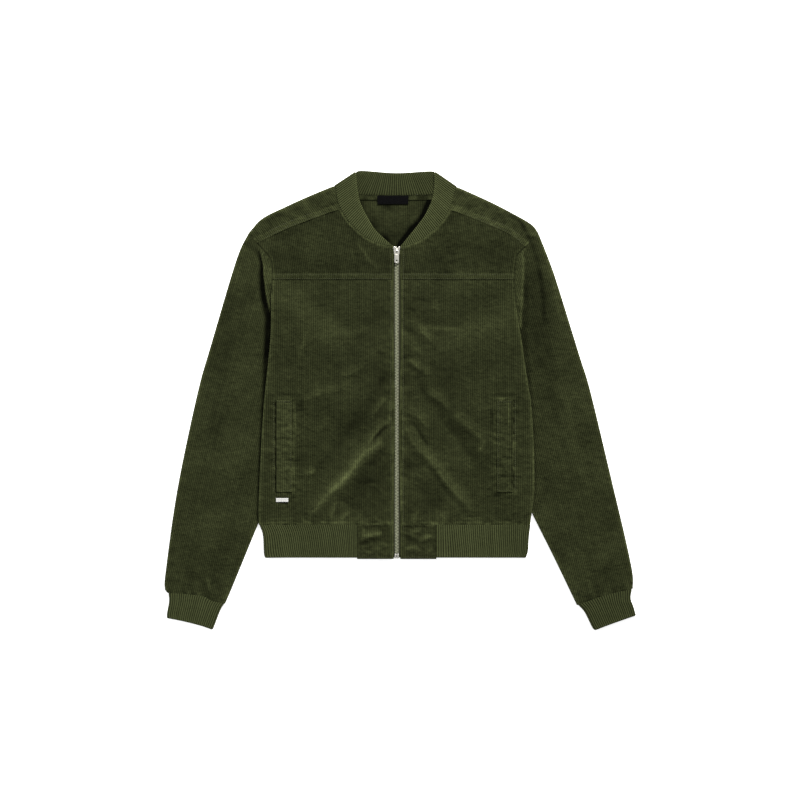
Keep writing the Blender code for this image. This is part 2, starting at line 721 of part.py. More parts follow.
def collar(material):
    """One double strip: up the left front, round the back of the neck and down the right front."""
    low, high = RIB / 2, RIB / 2 + COLLAR_STACK
    turn_radius = (high - low) / 2
    stations = []

    def flat_run(seam, edge, height, facing, rise_face, backwards=False):
        count = round((length(seam) + length(edge)) / 2 / RIB_PITCH)
        for k in range(2 * count + 1):
            share = k / (2 * count)
            share = 1 - share if backwards else share
            a, b = along(seam, share), along(edge, share)
            rise = [0.0, 0.0]
            rise[rise_face] = RIB_RISE if k % 2 else 0.0
            stations.append({
                "middle": lambda v, a=a, b=b: (mix(a.x, b.x, v), mix(a.y, b.y, v), height),
                "facing": lambda v: (0, 0, facing), "rise": rise})

    def turn(seam_end, edge_end, start, end):
        way = (edge_end - seam_end).normalized()
        out = Vector((-way.y, way.x))
        if out.y < 0:
            out = -out
        for degrees in range(start, end, 36 if end > start else -36):
            if degrees == start:
                continue
            c, s = math.cos(math.radians(degrees)), math.sin(math.radians(degrees))
            stations.append({
                "middle": lambda v, c=c, s=s: (
                    mix(seam_end.x, edge_end.x, v) + out.x * turn_radius * c,
                    mix(seam_end.y, edge_end.y, v) + out.y * turn_radius * c,
                    (low + high) / 2 + turn_radius * s),
                "facing": lambda v, c=c, s=s: (out.x * c, out.y * c, s), "rise": [0.0, 0.0]})

    left, right = LINES["left"], LINES["right"]
    flat_run(left["neck_seam"], left["neck_edge"], high, 1, 0)
    turn(left["neck_seam"][-1], left["neck_edge"][-1], 90, -90)
    flat_run(smooth_line(BACK_NECK), smooth_line(BACK_COLLAR_TOP), low, -1, 1)
    turn(right["neck_seam"][-1], right["neck_edge"][-1], -90, 90)
    flat_run(right["neck_seam"], right["neck_edge"], high, 1, 0, backwards=True)
    band("rib_collar", material, stations, (0.012, 1.0))


def hem_rib(material):
    """One strip from hem block to hem block round the back."""
    low, high = RIB / 2, RIB / 2 + HEM_STACK
    turn_radius = (high - low) / 2
    stations = []

    def station(name, x, height, facing, rise, out=0.0):
        line = LINES[name]["hem_edge"]
        top_edge = line[0].x

        def place(v):
            y = mix(HEM_Y - SEAM, HEM_FOOT_Y, v)
            edge = x_at(line, y)
            start = SIDES[name]["hem_block"]
            beyond = abs(x - ZIP_X) > abs(start - ZIP_X)
            flat_x = start + (x - start) * (edge - start) / (top_edge - start) if beyond else x
            return (flat_x, y, height + lift(flat_x, y))

        stations.append({"middle": place, "facing": lambda v: (out, 0, facing), "rise": [rise, 0.0]})

    reach = turn_radius + RIB / 2
    for name, backwards in (("left", False), ("right", True)):
        side = SIDES[name]
        sign = side["sign"]
        start = side["hem_block"]
        end = LINES[name]["hem_edge"][0].x - sign * reach
        count = round(abs(end - start) / RIB_PITCH)
        run = [(mix(start, end, k / (2 * count)), k % 2) for k in range(2 * count + 1)]
        bends = [(degrees, math.cos(math.radians(degrees)), math.sin(math.radians(degrees)))
                 for degrees in (45, 0, -45)]
        if backwards:
            for k in range(1, 20):
                left_end = LINES["left"]["hem_edge"][0].x + reach
                x = mix(left_end, end, k / 20)
                station(side_of(x), x, low, -1, 0.0)
            station(name, end, low, -1, 0.0)
            for degrees, c, s in reversed(bends):
                station(name, end + sign * turn_radius * c, (low + high) / 2 + turn_radius * s, s, 0.0,
                        sign * c)
            for x, odd in reversed(run):
                station(name, x, high, 1, RIB_RISE * odd)
        else:
            for x, odd in run:
                station(name, x, high, 1, RIB_RISE * odd)
            for degrees, c, s in bends:
                station(name, end + sign * turn_radius * c, (low + high) / 2 + turn_radius * s, s, 0.0,
                        sign * c)
            station(name, end, low, -1, 0.0)
    band("rib_hem", material, stations, (0.0, 0.35, 1.0))


def hem_block(name, material):
    """The doubled corduroy block between the hem rib and the zip."""
    side = SIDES[name]
    sign = side["sign"]
    xs = sorted((side["hem_block"] - sign * SEAM, ZIP_X + sign * FRONT_EDGE))
    block(f"hem_block_{name}", material, (xs[0], BLOCK_FOOT_Y, HEM_BLOCK_Z[0]),
          (xs[1], HEM_Y - SEAM, HEM_BLOCK_Z[1]))


def zip_tape(name, material):
    sign = SIDES[name]["sign"]
    inner = ZIP_X + sign * (CHAIN_WIDTH / 2 + SEAM)
    xs = sorted((inner, inner + sign * TAPE_WIDTH))
    block(f"zip_tape_{name}", material, (xs[0], ZIP_FOOT_Y + SEAM, TAPE_Z[0]),
          (xs[1], SLIDER_FOOT_Y - SEAM, TAPE_Z[1]))


def prism(name, material, outline, levels):
    """A stack of scaled outlines: levels of (z, widening)."""
    rings = [[(ZIP_X + x * wide, y, z) for x, y in outline] for z, wide in levels]
    bm = bmesh.new()
    loops = [[bm.verts.new((x * MM, y * MM, z * MM)) for x, y, z in ring] for ring in rings]
    count = len(outline)
    for lower, upper in zip(loops, loops[1:]):
        for j in range(count):
            k = (j + 1) % count
            bm.faces.new((lower[j], lower[k], upper[k], upper[j]))
    bm.faces.new(loops[0])
    bm.faces.new(loops[-1])
    return new_object(name, bm, material)


def zip_chain(material):
    half = CHAIN_WIDTH / 2
    outline = [(-half, ZIP_FOOT_Y + SEAM), (half, ZIP_FOOT_Y + SEAM),
               (half, SLIDER_FOOT_Y - SEAM), (-half, SLIDER_FOOT_Y - SEAM)]
    middle = sum(CHAIN_Z) / 2
    prism("zip_chain", material, outline, [(CHAIN_Z[0], 0.75), (middle - 0.5, 1.0),
                                           (middle + 0.5, 1.0), (CHAIN_Z[1], 0.75)])


def zip_slider(material):
    """A Y-shaped body with an arch that the pull tab hangs on."""
    outline = SLIDER + [(0.0, SLIDER_NOTCH_Y)] + [(-x, y) for x, y in reversed(SLIDER)]
    body = prism("zip_slider", material, outline, SLIDER_LEVELS)
    bm = bmesh.new()
    half = ARCH_HALF
    turns = [180 - 22.5 * k for k in range(9)]
    arcs = []
    for radius in (ARCH_OUT, ARCH_IN):
        line = [(PIVOT_Y - radius, ARCH_FOOT_Z)]
        line += [(PIVOT_Y + radius * math.cos(math.radians(t)),
                  PIVOT_Z + radius * math.sin(math.radians(t))) for t in turns]
        line.append((PIVOT_Y + radius, ARCH_FOOT_Z))
        arcs.append(line)
    rings = []
    for (y0, z0), (y1, z1) in zip(*arcs):
        rings.append([bm.verts.new(((ZIP_X + x) * MM, y * MM, z * MM))
                      for x, y, z in ((-half, y0, z0), (half, y0, z0), (half, y1, z1), (-half, y1, z1))])
    for a, b in zip(rings, rings[1:]):
        for j in range(4):
            k = (j + 1) % 4
            bm.faces.new((a[j], a[k], b[k], b[j]))
    bm.faces.new(rings[0])
    bm.faces.new(rings[-1])
    arch = new_object("slider_arch", bm, material)
    arch.hide_render = True
    arch.display_type = "WIRE"
    union = body.modifiers.new("arch", "BOOLEAN")
    union.operation = "UNION"
    union.object = arch


def pull_tab(material):
    """A flat tab with an eye for the slider's arch and a hole at its foot, turning about X."""
    outline_x = (-TAB_HALF, -TAB_HOLE_HALF, TAB_HOLE_HALF, TAB_HALF)
    holes = {(1, 1), (1, 3)}
    bm = bmesh.new()
    cells = [(i, j) for i in range(3) for j in range(5) if (i, j) not in holes]
    made = {}

    def corner(i, j):
        if (i, j) not in made:
            narrow = 0.8 if j == 5 and i in (0, 3) else 1.0
            made[(i, j)] = bm.verts.new((outline_x[i] * narrow * MM, TAB_Y[j] * MM, -TAB_THICK / 2 * MM))
        return made[(i, j)]

    faces = [bm.faces.new([corner(i, j), corner(i + 1, j), corner(i + 1, j + 1), corner(i, j + 1)])
             for i, j in cells]
    grown = bmesh.ops.extrude_face_region(bm, geom=faces)
    for vert in grown["geom"]:
        if isinstance(vert, bmesh.types.BMVert):
            vert.co.z = TAB_THICK / 2 * MM
    tab = new_object("zip_pull", bm, material)
    tab.location = (ZIP_X * MM, PIVOT_Y * MM, PIVOT_Z * MM)


def zip_ends(material):
    """The retaining box and pin at the foot of the two tapes."""
    for name, side in SIDES.items():
        near, far = sorted(ZIP_X + side["sign"] * x for x in ZIP_END_X)
        block(f"zip_end_{name}", material, (near, ZIP_END_Y, ZIP_END_Z[0]), (far, ZIP_FOOT_Y, ZIP_END_Z[1]))


def neck_tape(material):
    """Binding over the back neck seam, inside."""
    line = [p for p in smooth_line(BACK_NECK) if NECK_TAPE_X[0] < p.x < NECK_TAPE_X[1]]
    top = [(p.x, p.y - SEAM * 2) for p in line]
    foot = [(p.x, p.y - NECK_TAPE_FOOT) for p in line]
    grids = [[[(x, y, z) for x, y in edge] for edge in (foot, top)]
             for z in (CLOTH + SEAM + TRIM, CLOTH + SEAM)]
    wall("neck_tape", material, *grids)


def label_and_tag(label_material, tag_material, panel):
    low = CLOTH + SEAM + TRIM + SEAM
    block("neck_label", label_material, (LABEL_X[0], LABEL_Y[0], low),
          (LABEL_X[1], LABEL_Y[1], low + LABEL_THICK))
    near = [p[2] for row in panel for p in row
            if TAG_X[0] - 1 < p[0] < TAG_X[1] + 8 and TAG_Y[0] - 10 < p[1] < TAG_Y[1] + 12]
    seat = max(near) + SEAM
    block("side_tag", tag_material, (TAG_X[0], TAG_Y[0], seat), (TAG_X[1], TAG_Y[1], seat + TAG_THICK))


def finish(name, colour, roughness, metallic=0.0):
    material = bpy.data.materials.new(name)
    material.use_nodes = True
    shader = material.node_tree.nodes["Principled BSDF"]
    shader.inputs["Base Color"].default_value = (*colour, 1.0)
    shader.inputs["Roughness"].default_value = roughness
    shader.inputs["Metallic"].default_value = metallic
    return material


def main():
    for item in list(bpy.data.objects):
        bpy.data.objects.remove(item, do_unlink=True)
    corduroy = finish("corduroy", (0.042, 0.050, 0.018), 0.9)
    rib = finish("rib_knit", (0.055, 0.066, 0.024), 0.92)
    tape = finish("zip_tape", (0.05, 0.052, 0.03), 0.8)
    metal = finish("metal", (0.62, 0.61, 0.56), 0.3, 1.0)
    satin = finish("label", (0.01, 0.01, 0.01), 0.5)
    silver = finish("tag", (0.6, 0.6, 0.56), 0.4)
    back_panel(corduroy)
    panels = {}
    for name in SIDES:
        panels[name] = front_lower(name, corduroy)
        front_upper(name, corduroy)
        shoulder_strip(name, corduroy)
        sleeve(name, corduroy)
        welt(name, corduroy, panels[name])
        hem_block(name, corduroy)
        cuff(name, rib)
        zip_tape(name, tape)
    collar(rib)
    hem_rib(rib)
    zip_chain(metal)
    zip_slider(metal)
    pull_tab(metal)
    zip_ends(metal)
    neck_tape(corduroy)
    label_and_tag(satin, silver, panels["left"])


main()
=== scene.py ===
"""The corduroy zip jacket's looks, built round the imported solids.

Sizes are millimetres in the frame of the solids: X to the right, Y towards the collar, Z up from the floor.
Each cloth piece is a thin shell whose wales or ribs are real geometry. A panel is a plan outline filled with
points that stand in columns along its wales; functions of the plan give the height of every point.
"""
import math
from functools import partial

import bmesh
import bpy
import numpy as np
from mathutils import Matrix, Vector
from mathutils.geometry import delaunay_2d_cdt

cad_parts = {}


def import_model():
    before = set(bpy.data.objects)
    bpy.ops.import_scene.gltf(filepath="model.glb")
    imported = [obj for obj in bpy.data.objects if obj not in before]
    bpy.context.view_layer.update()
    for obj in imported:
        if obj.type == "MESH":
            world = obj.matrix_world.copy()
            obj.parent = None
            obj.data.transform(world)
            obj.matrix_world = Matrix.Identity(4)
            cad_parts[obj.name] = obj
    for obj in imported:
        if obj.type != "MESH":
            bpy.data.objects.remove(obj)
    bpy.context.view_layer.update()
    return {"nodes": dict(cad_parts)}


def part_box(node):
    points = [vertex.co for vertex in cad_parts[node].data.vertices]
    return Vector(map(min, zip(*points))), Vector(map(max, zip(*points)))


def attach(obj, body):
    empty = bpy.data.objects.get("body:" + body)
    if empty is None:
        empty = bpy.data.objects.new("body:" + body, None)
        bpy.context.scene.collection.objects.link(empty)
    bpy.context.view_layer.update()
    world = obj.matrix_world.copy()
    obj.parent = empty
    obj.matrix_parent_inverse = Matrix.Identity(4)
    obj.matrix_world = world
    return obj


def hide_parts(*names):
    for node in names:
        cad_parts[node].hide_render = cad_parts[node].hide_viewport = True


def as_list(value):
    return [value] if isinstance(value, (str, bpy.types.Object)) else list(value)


MM = 0.001
RNG = np.random.default_rng(11)

# ---- Sizes that the solids share ----

CLOTH = 1.5            # thickness of the corduroy
RIB = 2.6              # thickness of the rib knit, folded double
RIB_PITCH = 3.2
NEAR = 0.05            # what parts two pieces at a seam
HEM_Y = -192.5         # seam of the hem rib
CHEST_Y = 186.0        # seam across the chest
HEM_FOOT_Y = -243.5    # lower edges of the hem rib and of the blocks beside the zip
BLOCK_FOOT_Y = -245.5
ZIP_X = -6.0
NECK_MIDDLE = (ZIP_X, 300.0)
NECK_WINDOW = (-105.0, 90.0, 225.0, 333.0)     # x, x, y, y round what the neck shows of the back's inside
SLEEVE_UNDER = 3.7     # whole sleeve where the body lies on it
SLEEVE_PUFF = 1.5      # how much fuller it is further out
SLEEVE_MOST = 6.6
BODY_LIFT = 4.3        # how far the sleeve underneath lifts the body's side
LIFT_MARGIN = 12.0     # the lift goes on this far past the sleeve, and fades over its reach
LIFT_REACH = 50.0
# room inside the body, between its front and its back
AIR_SIDE = 1.2
AIR_ZIP = 2.9
AIR_ZIP_REACH = 120.0
AIR_NECK = 2.4
AIR_ARM = 2.2
AIR_ARM_REACH = 45.0
AIR_MOST = 7.5
# what the ribs lie on
COLLAR_STACK = 3.7
HEM_STACK = 3.1
CUFF_STACK = 3.0
# the zip: its chain, the slider's foot, the pull's pivot and the chain's foot
CHAIN_WIDTH = 5.9
CHAIN_Z = (2.95, 5.0)
SLIDER_FOOT_Y = 226.0
PIVOT_Y = 231.5
PIVOT_Z = 8.05
ZIP_FOOT_Y = -237.0

# ---- Cloth ----

WALE = 2.85            # from one wale to the next
WALE_RISE = 0.6
# place across one wale and its share of the wale's height: four columns of points to a wale
WALE_FORM = ((0.0, 0.0), (0.2, 0.84), (0.5, 1.0), (0.8, 0.84), (1.0, 0.0))
RIB_FORM = ((0.0, 0.0), (0.14, 0.55), (0.32, 0.92), (0.5, 1.0), (0.68, 0.92), (0.86, 0.55), (1.0, 0.0))
RIB_RISE = 0.9
ROW = 5.0              # between the rows of points along a wale
STRIP_LEAN = 0.70      # sideways run of a shoulder strip's wales for each millimetre up
SLEEVE_LEAN = ((-400, 0.222), (-80, 0.222), (60, 0.277), (400, 0.277))     # the same for a sleeve, at heights

# Outlines, each a list of (x, y)
SIDES = {
    "left": {
        "sign": -1,
        "zip": -10.6,          # a front's edge beside the zip, and the topstitching on it
        "stitches": -15.6,
        "shoulder": [(-104, 332), (-146, 314.5), (-180, 299), (-214.3, 281.6), (-236, 258.5)],
        "strip_seam": [(-95.5, 296), (-146, 277.5), (-180, 264), (-222.5, 243.5)],
        "armhole": [(-236, 258.5), (-222.5, 243.5), (-206.5, 226), (-200.5, 213.5), (-199, 193.5),
                    (-199.5, 176.5), (-200.5, 158), (-200.5, 134.5)],
        "underarm": (-127.5, 77.5),
        "side": [(-200.5, 134.5), (-201.5, 96), (-206, 49.5), (-211, 1.5), (-215.5, -62),
                 (-219.5, -155), (-219.5, -192.5)],
        "outer": [(-236, 258.5), (-254.5, 217), (-293.4, 86.5), (-314.2, 12), (-345.4, -136.5),
                  (-364, -267), (-365, -292.5)],
        "inner": [(-127.5, 77.5), (-180, -93), (-220.2, -190.5), (-260, -287.5), (-271.6, -314.5)],
        "cuff_seam": [(-365, -292.5), (-359, -298.5), (-346, -298.5), (-308.5, -302.5),
                      (-293, -309.5), (-271.6, -314.5)],
        "cuff_outer": [(-359.5, -299.5), (-358.4, -311.5), (-361.6, -329), (-361.6, -337)],
        "cuff_inner": [(-272, -315.5), (-278, -323.5), (-289, -351), (-291.5, -355)],
        "cuff_foot": [(-361.6, -337), (-336, -342), (-308.5, -349), (-291.5, -355)],
        "neck_seam": [(-11.6, 238.8), (-28, 241), (-46.5, 248), (-64.5, 261), (-80, 277),
                      (-92.5, 296.5), (-98, 313), (-100.6, 330)],
        "neck_edge": [(-13, 239.6), (-27, 252), (-40, 265), (-54, 288.5), (-63.5, 310),
                      (-67.5, 332.5), (-68.6, 351.2)],
        "hem_edge": [(-218, -192.5), (-212.5, -208), (-211, -236), (-209.3, -243.5)],
        "hem_block": -67.5,
        "welt": (-192.5, -167.5),
        # y, width of the sleeve cloth that stands beside the armhole seam
        "strip": [(258.5, 0), (243, 3), (218.5, 13), (193.5, 13.5), (167, 9), (134.5, 1)],
    },
    "right": {
        "sign": 1,
        "zip": -0.6,
        "stitches": 4.4,
        "shoulder": [(89, 330), (134.5, 309.5), (168.3, 292.4), (202, 273), (213.5, 259)],
        "strip_seam": [(77.5, 295.5), (134.5, 272.5), (168, 257.5), (193, 237.5)],
        "armhole": [(213.5, 259), (193, 237.5), (180.5, 223.5), (178, 204.5), (176, 185), (178, 164),
                    (180.5, 134.5), (184, 110)],
        "underarm": (100, 66),
        "side": [(184, 110), (187, 94), (191, 65), (196.5, 29), (202, -6.5), (205, -53), (206.5, -91.5),
                 (206.5, -141.5), (203, -172.5), (200.5, -192.5)],
        "outer": [(213.5, 259), (230, 217), (243, 179.5), (277.5, 68), (294.5, 12), (330, -136.5),
                  (347.6, -211), (359.2, -267), (359.8, -291.5)],
        "inner": [(100, 66), (164, -93), (203.5, -175), (238.8, -246), (272.9, -317)],
        "cuff_seam": [(359.8, -291.5), (333, -297.5), (313, -302.5), (293.5, -309.5), (272.9, -317)],
        "cuff_outer": [(358, -292.5), (356.4, -307.5), (360.5, -319), (364.5, -333)],
        "cuff_inner": [(274.2, -318), (284.8, -329), (296.2, -351), (300.6, -356)],
        "cuff_foot": [(364.5, -333), (352.5, -337), (327, -346), (300.6, -356)],
        "neck_seam": [(-0.4, 238.8), (10, 239.5), (30, 247.5), (50, 262.5), (67, 281), (77, 301),
                      (82, 318), (85, 328.5)],
        "neck_edge": [(1, 239.8), (11, 252), (25.5, 270), (37.5, 286.5), (48, 309), (51.5, 330),
                      (52, 351.2)],
        "hem_edge": [(200.5, -192.5), (198, -212.5), (196.8, -232.5), (193.2, -243.5)],
        "hem_block": 55.5,
        "welt": (173.5, 148.5),
        "strip": [(259, 0), (237, 2), (218.5, 11.5), (188, 14.5), (164, 11.5), (134.5, 7.5), (110, 3)],
    },
}
BACK_NECK = [(-100.6, 330), (-85.5, 322.5), (-63.5, 319), (-6.5, 318), (46.5, 319), (68, 322.5),
             (85, 328.5)]
BACK_COLLAR_TOP = [(-68.6, 351.2), (-61, 355.8), (-6.5, 352.3), (46, 355), (52, 351.2)]
WELT_Y = (-142.0, 0.0)
WELT_SEWN = (2.2, 2.4)  # how far its stitches run inside its long edge and its ends
CHEST_STITCHES = (188.2, 194.9)     # the heights of the two rows above the chest seam
# heights of the rows of points that its steps and channels need
CHEST_ROWS = (186.6, 187.4, 188.2, 189.0, 194.1, 194.9, 195.7, 196.5, 197.4)
# the welt's slit, painted as a dark shadow: its x and how dark it is
WELT_MOUTH = {"left": (-193.2, 0.8), "right": (174.5, 0.3)}
# the two rows beside the shoulder strip's seam: how far off, and which of its points
STRIP_STITCHES = ((1.9, slice(2, -3)), (8.2, slice(5, -4)))
TRIM = 0.8             # thickness of the neck tape
NECK_TAPE_X = (-84, 68)

# ---- Folds: route, height (a trough is negative), half width before and after the route's line, light ----
# "before" is the side to the left of someone who walks the route: a ridge's shaded side. Light is the painted
# light on a ridge's crest and on its other side; a negative one is painted shade in a trough.

FRONT_FOLDS = [
    ([(-27, -60), (-35, -68), (-44, -75), (-56, -82), (-66, -94), (-74, -105), (-84, -118), (-96, -131),
      (-108, -142), (-120, -154), (-131, -167), (-140, -178)], 2.3, 11, 9, 1.9),
    ([(-18, -32), (-29, -41), (-39, -51), (-46, -61), (-51, -70)], 1.3, 3.5, 6, 1.3),
    ([(-22, -40), (-31, -49), (-38, -58), (-42, -66)], -0.69, 3, 3, -0.63),
    ([(-24, -66), (-34, -84), (-50, -106), (-66, -130), (-80, -152)], -0.46, 9, 9, -0.31),
    ([(-20, -80), (-36, -112), (-56, -142), (-72, -168)], -0.2, 18, 18, -0.2),
    ([(8, -84), (20, -112), (40, -146), (62, -178)], -0.3, 15, 15, -0.24),
    ([(-96, -150), (-84, -160), (-74, -172)], -0.34, 6, 6, -0.28),
    ([(-100, -157), (-104, -170), (-108, -184)], 1.03, 4, 5, 0.98),
    ([(-78, -172), (-86, -179), (-94, -187)], 0.92, 3, 4, 0.98),
    ([(-60, -176), (-70, -187)], 0.57, 3, 3, 0.49),
    ([(-34, -100), (-48, -98), (-60, -104)], -0.46, 3, 3, -0.28),
    ([(-30, -132), (-44, -126), (-58, -130)], -0.46, 3, 4, -0.28),
    ([(-22, 46), (-29, 32), (-34, 18), (-42, 2), (-56, -22), (-76, -44), (-92, -64), (-106, -82), (-122, -102),
      (-134, -122)], -1.03, 10, 10, -0.28),
    ([(-23, 44), (-29, 31), (-34, 18)], -0.3, 4, 4, -0.16),
    ([(-22, 4), (-31, -7), (-39, -17), (-46, -28)], 0.92, 3.5, 5, 0.77),
    ([(-58, 50), (-70, 46), (-82, 40), (-94, 36)], 0.92, 4, 6, 0.56),
    ([(-94, 17), (-110, 13), (-126, 9), (-142, 3), (-150, -3)], 0.92, 4, 7, 0.63),
    ([(-148, -2), (-158, -10), (-168, -18)], -0.57, 5, 5, -0.35),
    ([(-142, 112), (-150, 90), (-158, 62)], 0.57, 6, 6, 0.39),
    ([(-132, -106), (-139, -112), (-148, -117)], 0.92, 5, 6, 0.98),
    ([(-110, -24), (-118, -38), (-130, -52)], 0.69, 7, 8, 0.28),
    ([(-108, -70), (-118, -82), (-128, -92)], 0.46, 7, 8, 0.28),
    ([(-24, 118), (-60, 106), (-90, 101), (-126, 98)], 0.46, 4, 5, 0.35),
    ([(-22, 66), (-30, 70), (-38, 76)], -0.34, 3, 3, -0.35),
    ([(-16, 2), (-17, -20), (-19, -42)], 0.57, 3, 3, 0.84),
    ([(-66, 242), (-54, 224), (-43, 211), (-34, 201)], 0.57, 3, 4, 0.56),
    ([(-77, 234), (-74, 222), (-71, 210)], 0.34, 3, 3, 0.35),
    ([(112, -172), (102, -162), (90, -149), (78, -135), (66, -120), (55, -105), (42, -90), (30, -77), (20, -64),
      (11, -48), (7, -38)], 1.7, 7, 9, 1),
    ([(110, -182), (97, -170), (84, -157), (72, -143), (61, -128), (49, -112), (36, -99), (24, -88),
      (13, -76)], -0.57, 5, 6, -0.17),
    ([(44, -44), (34, -32), (22, -23), (9, -16)], 1.03, 6, 9, 0.63),
    ([(42, -72), (31, -54), (22, -41), (12, -32)], -0.69, 3.5, 4, -0.49),
    ([(74, -14), (66, -4), (52, 7), (40, 14)], 1.15, 6, 8, 0.77),
    ([(130, -62), (120, -54), (108, -43), (96, -32), (82, -20)], 1.26, 8, 9, 0.91),
    ([(118, -80), (126, -72), (130, -62)], 0.8, 4, 4, 0.84),
    ([(130, -112), (114, -92), (98, -73), (89, -58), (78, -43), (66, -27), (54, -8), (40, 4), (35, 16), (30, 30),
      (24, 42)], -0.92, 9, 9, -0.28),
    ([(44, 40), (36, 44), (29, 50), (20, 58), (9, 63)], 1.15, 5, 7, 0.84),
    ([(22, 66), (12, 68), (4, 66)], -0.46, 2.5, 2.5, -0.42),
    ([(36, 68), (25, 77), (12, 83)], 0.8, 4, 6, 0.49),
    ([(54, 88), (46, 95), (36, 104), (24, 112)], 1.03, 6, 6, 0.84),
    ([(98, 108), (78, 108), (56, 108), (30, 111)], 0.57, 3, 4, 0.49),
    ([(100, 115), (60, 116), (32, 118)], -0.34, 4, 4, -0.21),
    ([(24, 101), (14, 107), (6, 114)], -0.57, 4, 4, -0.42),
    ([(62, 136), (54, 142), (48, 146)], 0.57, 4, 5, 0.49),
    ([(48, 152), (34, 154), (18, 156)], -0.46, 4, 4, -0.28),
    ([(24, 137), (14, 141), (4, 143)], -0.46, 3, 3, -0.35),
    ([(30, 172), (18, 175), (5, 180)], -0.34, 3, 3, -0.28),
    ([(96, -128), (104, -133)], -0.46, 5, 5, -0.35),
    ([(60, -176), (72, -187)], 0.69, 4, 4, 0.49),
    ([(26, -172), (20, -187)], 0.69, 4, 4, 0.42),
    ([(40, -126), (28, -119), (12, -116)], 0.57, 4, 5, 0.35),
]
# Beside and on the pocket welts: creases across them, and their frayed stitched edges as ridges with painted
# highlights
WELT_FOLDS = [
    ([(-190, -39), (-182, -40), (-174, -39)], -0.5, 1.6, 1.6, -0.45),
    ([(-189, -60), (-181, -58), (-172, -60)], -0.5, 1.6, 1.6, -0.45),
    ([(-191, -84), (-184, -83), (-176, -82)], -0.4, 1.5, 1.5, -0.4),
    ([(-182, -93), (-174, -92), (-166, -93), (-156, -92)], -0.5, 1.5, 1.5, -0.5),
    ([(-183, -1), (-175, -3), (-168, -1)], -0.4, 1.4, 1.4, -0.5),
    ([(-172, -15), (-161, -17), (-150, -13)], -0.4, 1.6, 1.6, -0.35),
    ([(-188, -124), (-180, -122), (-172, -124)], -0.3, 1.6, 1.6, -0.25),
    ([(-170, -139), (-180, -140), (-190, -140)], 0.3, 1.2, 1.4, 1.05),
    ([(-162, -54), (-163, -34), (-165, -4)], 0.4, 2.5, 2.5, 0.52),
    ([(-166, -136), (-167, -112), (-165, -86)], 0.4, 2.5, 2.5, 0.52),
    ([(171, -53), (158, -51), (148, -49)], -0.4, 1.5, 1.5, -0.4),
    ([(172, -91), (160, -88), (150, -85)], -0.4, 1.5, 1.5, -0.4),
    ([(172, -119), (160, -118), (150, -115)], -0.5, 1.7, 1.7, -0.5),
    ([(167, -33), (157, -34)], -0.3, 1.4, 1.4, -0.35),
    ([(168, 1), (157, 3), (146, 2)], 0.4, 1.8, 2, 1.12),
    ([(178, -142), (163, -143), (150, -141)], 0.4, 1.4, 1.6, 1.2),
    ([(166, -46), (167, -28), (166.5, -12), (167, -2)], 0.4, 1.3, 1.3, 1.12),
    ([(175, -100), (174, -76), (175, -52)], 0.4, 1.6, 1.6, 0.75),
    ([(156, -148), (144, -147)], -0.3, 1.6, 1.6, -0.35),
    ([(139, -44), (141, -30), (140, -12)], -0.3, 2, 2, -0.3),
]
SLEEVE_FOLDS = [
    ([(-262, 170), (-273, 136), (-285, -18), (-296, -90)], -1.0, 16, 16, -0.18),
    ([(-296, 96), (-306, 30), (-318, -60)], 0.6, 14, 14, 0.12),
    ([(194, 262), (201, 248), (206, 234), (211, 218), (215, 198), (218, 176), (221, 150),
      (223, 120)], -0.6, 4, 4, -0.42),
    ([(214, 200), (222, 160), (226, 110), (232, 40), (240, -40)], -0.7, 9, 10, -0.25),
    ([(222, 236), (233, 200), (242, 150), (250, 80)], 0.6, 8, 9, 0.3),
    ([(196, 225), (203, 180), (208, 120), (216, 40)], -0.2, 12, 12, -0.3),
    ([(252, 20), (264, -40), (276, -120)], 0.6, 12, 12, 0.15),
    ([(-330, -262), (-322, -296)], -0.7, 7, 7, -0.25),
    ([(-300, -270), (-296, -300)], 0.7, 6, 6, 0.3),
    ([(318, -258), (316, -292)], -0.7, 7, 7, -0.25),
    ([(290, -276), (292, -304)], 0.7, 6, 6, 0.3),
    ([(-238, 228), (-252, 196), (-262, 150)], 0.6, 8, 8, 0.2),
]

BLOCK_FOLDS = [
    ([(-28, -205.5), (-46, -208.5), (-63, -213)], 1.2, 5, 4.5, 1.5),
    ([(-34, -214), (-48, -218), (-62, -224)], -0.4, 5, 5, -0.25),
    ([(-20, -224), (-34, -229), (-50, -231)], 0.7, 4, 5, 0.4),
    ([(-56, -197), (-58, -206)], 0.5, 3, 3, 0.5),
    ([(-44, -236), (-62, -233)], 0.6, 3, 4, 0.5),
    ([(49, -210), (40, -213), (30, -218)], 1.1, 4.5, 4, 1.3),
    ([(46, -216), (36, -220), (26, -226)], -0.4, 4, 4, -0.25),
    ([(32, -200), (22, -204), (12, -203)], 0.7, 4, 4, 0.45),
    ([(28, -232), (18, -228), (8, -229)], 0.7, 4, 4, 0.45),
    ([(50, -228), (44, -234), (36, -238)], 0.5, 3, 3, 0.4),
]
# y, width of the shade beside the body's edge
GAP_SHADE = [(252, 0), (220, 4), (180, 8), (140, 10), (100, 10), (60, 8), (20, 5), (-40, 3), (-190, 2.5)]
SHOULDER_CREASE = [(158, 294), (168, 289), (179, 282), (188, 273), (196, 258), (201, 248), (206, 232)]

for side in SIDES.values():
    side["armhole_end"] = side["armhole"][-1]
    side["end_y"] = side["armhole_end"][1]
    side["gap"] = side["inner"][2]

# ---- Lines ----

def smooth(share):
    """0 to 1, flat at both ends."""
    share = np.clip(share, 0.0, 1.0)
    return share * share * (3 - 2 * share)


def mix(a, b, share):
    return a + (b - a) * share


def bell(gap, width):
    """1 on a line, falling softly to 0 beside it."""
    return np.exp(-(gap / width) ** 2)


def rounding(gap, reach, least):
    """How full a rounded edge is at a gap from its outermost line, 0 to 1."""
    return np.sqrt(np.clip(1 - (1 - np.clip(gap / reach, 0, 1)) ** 2, least, 1))


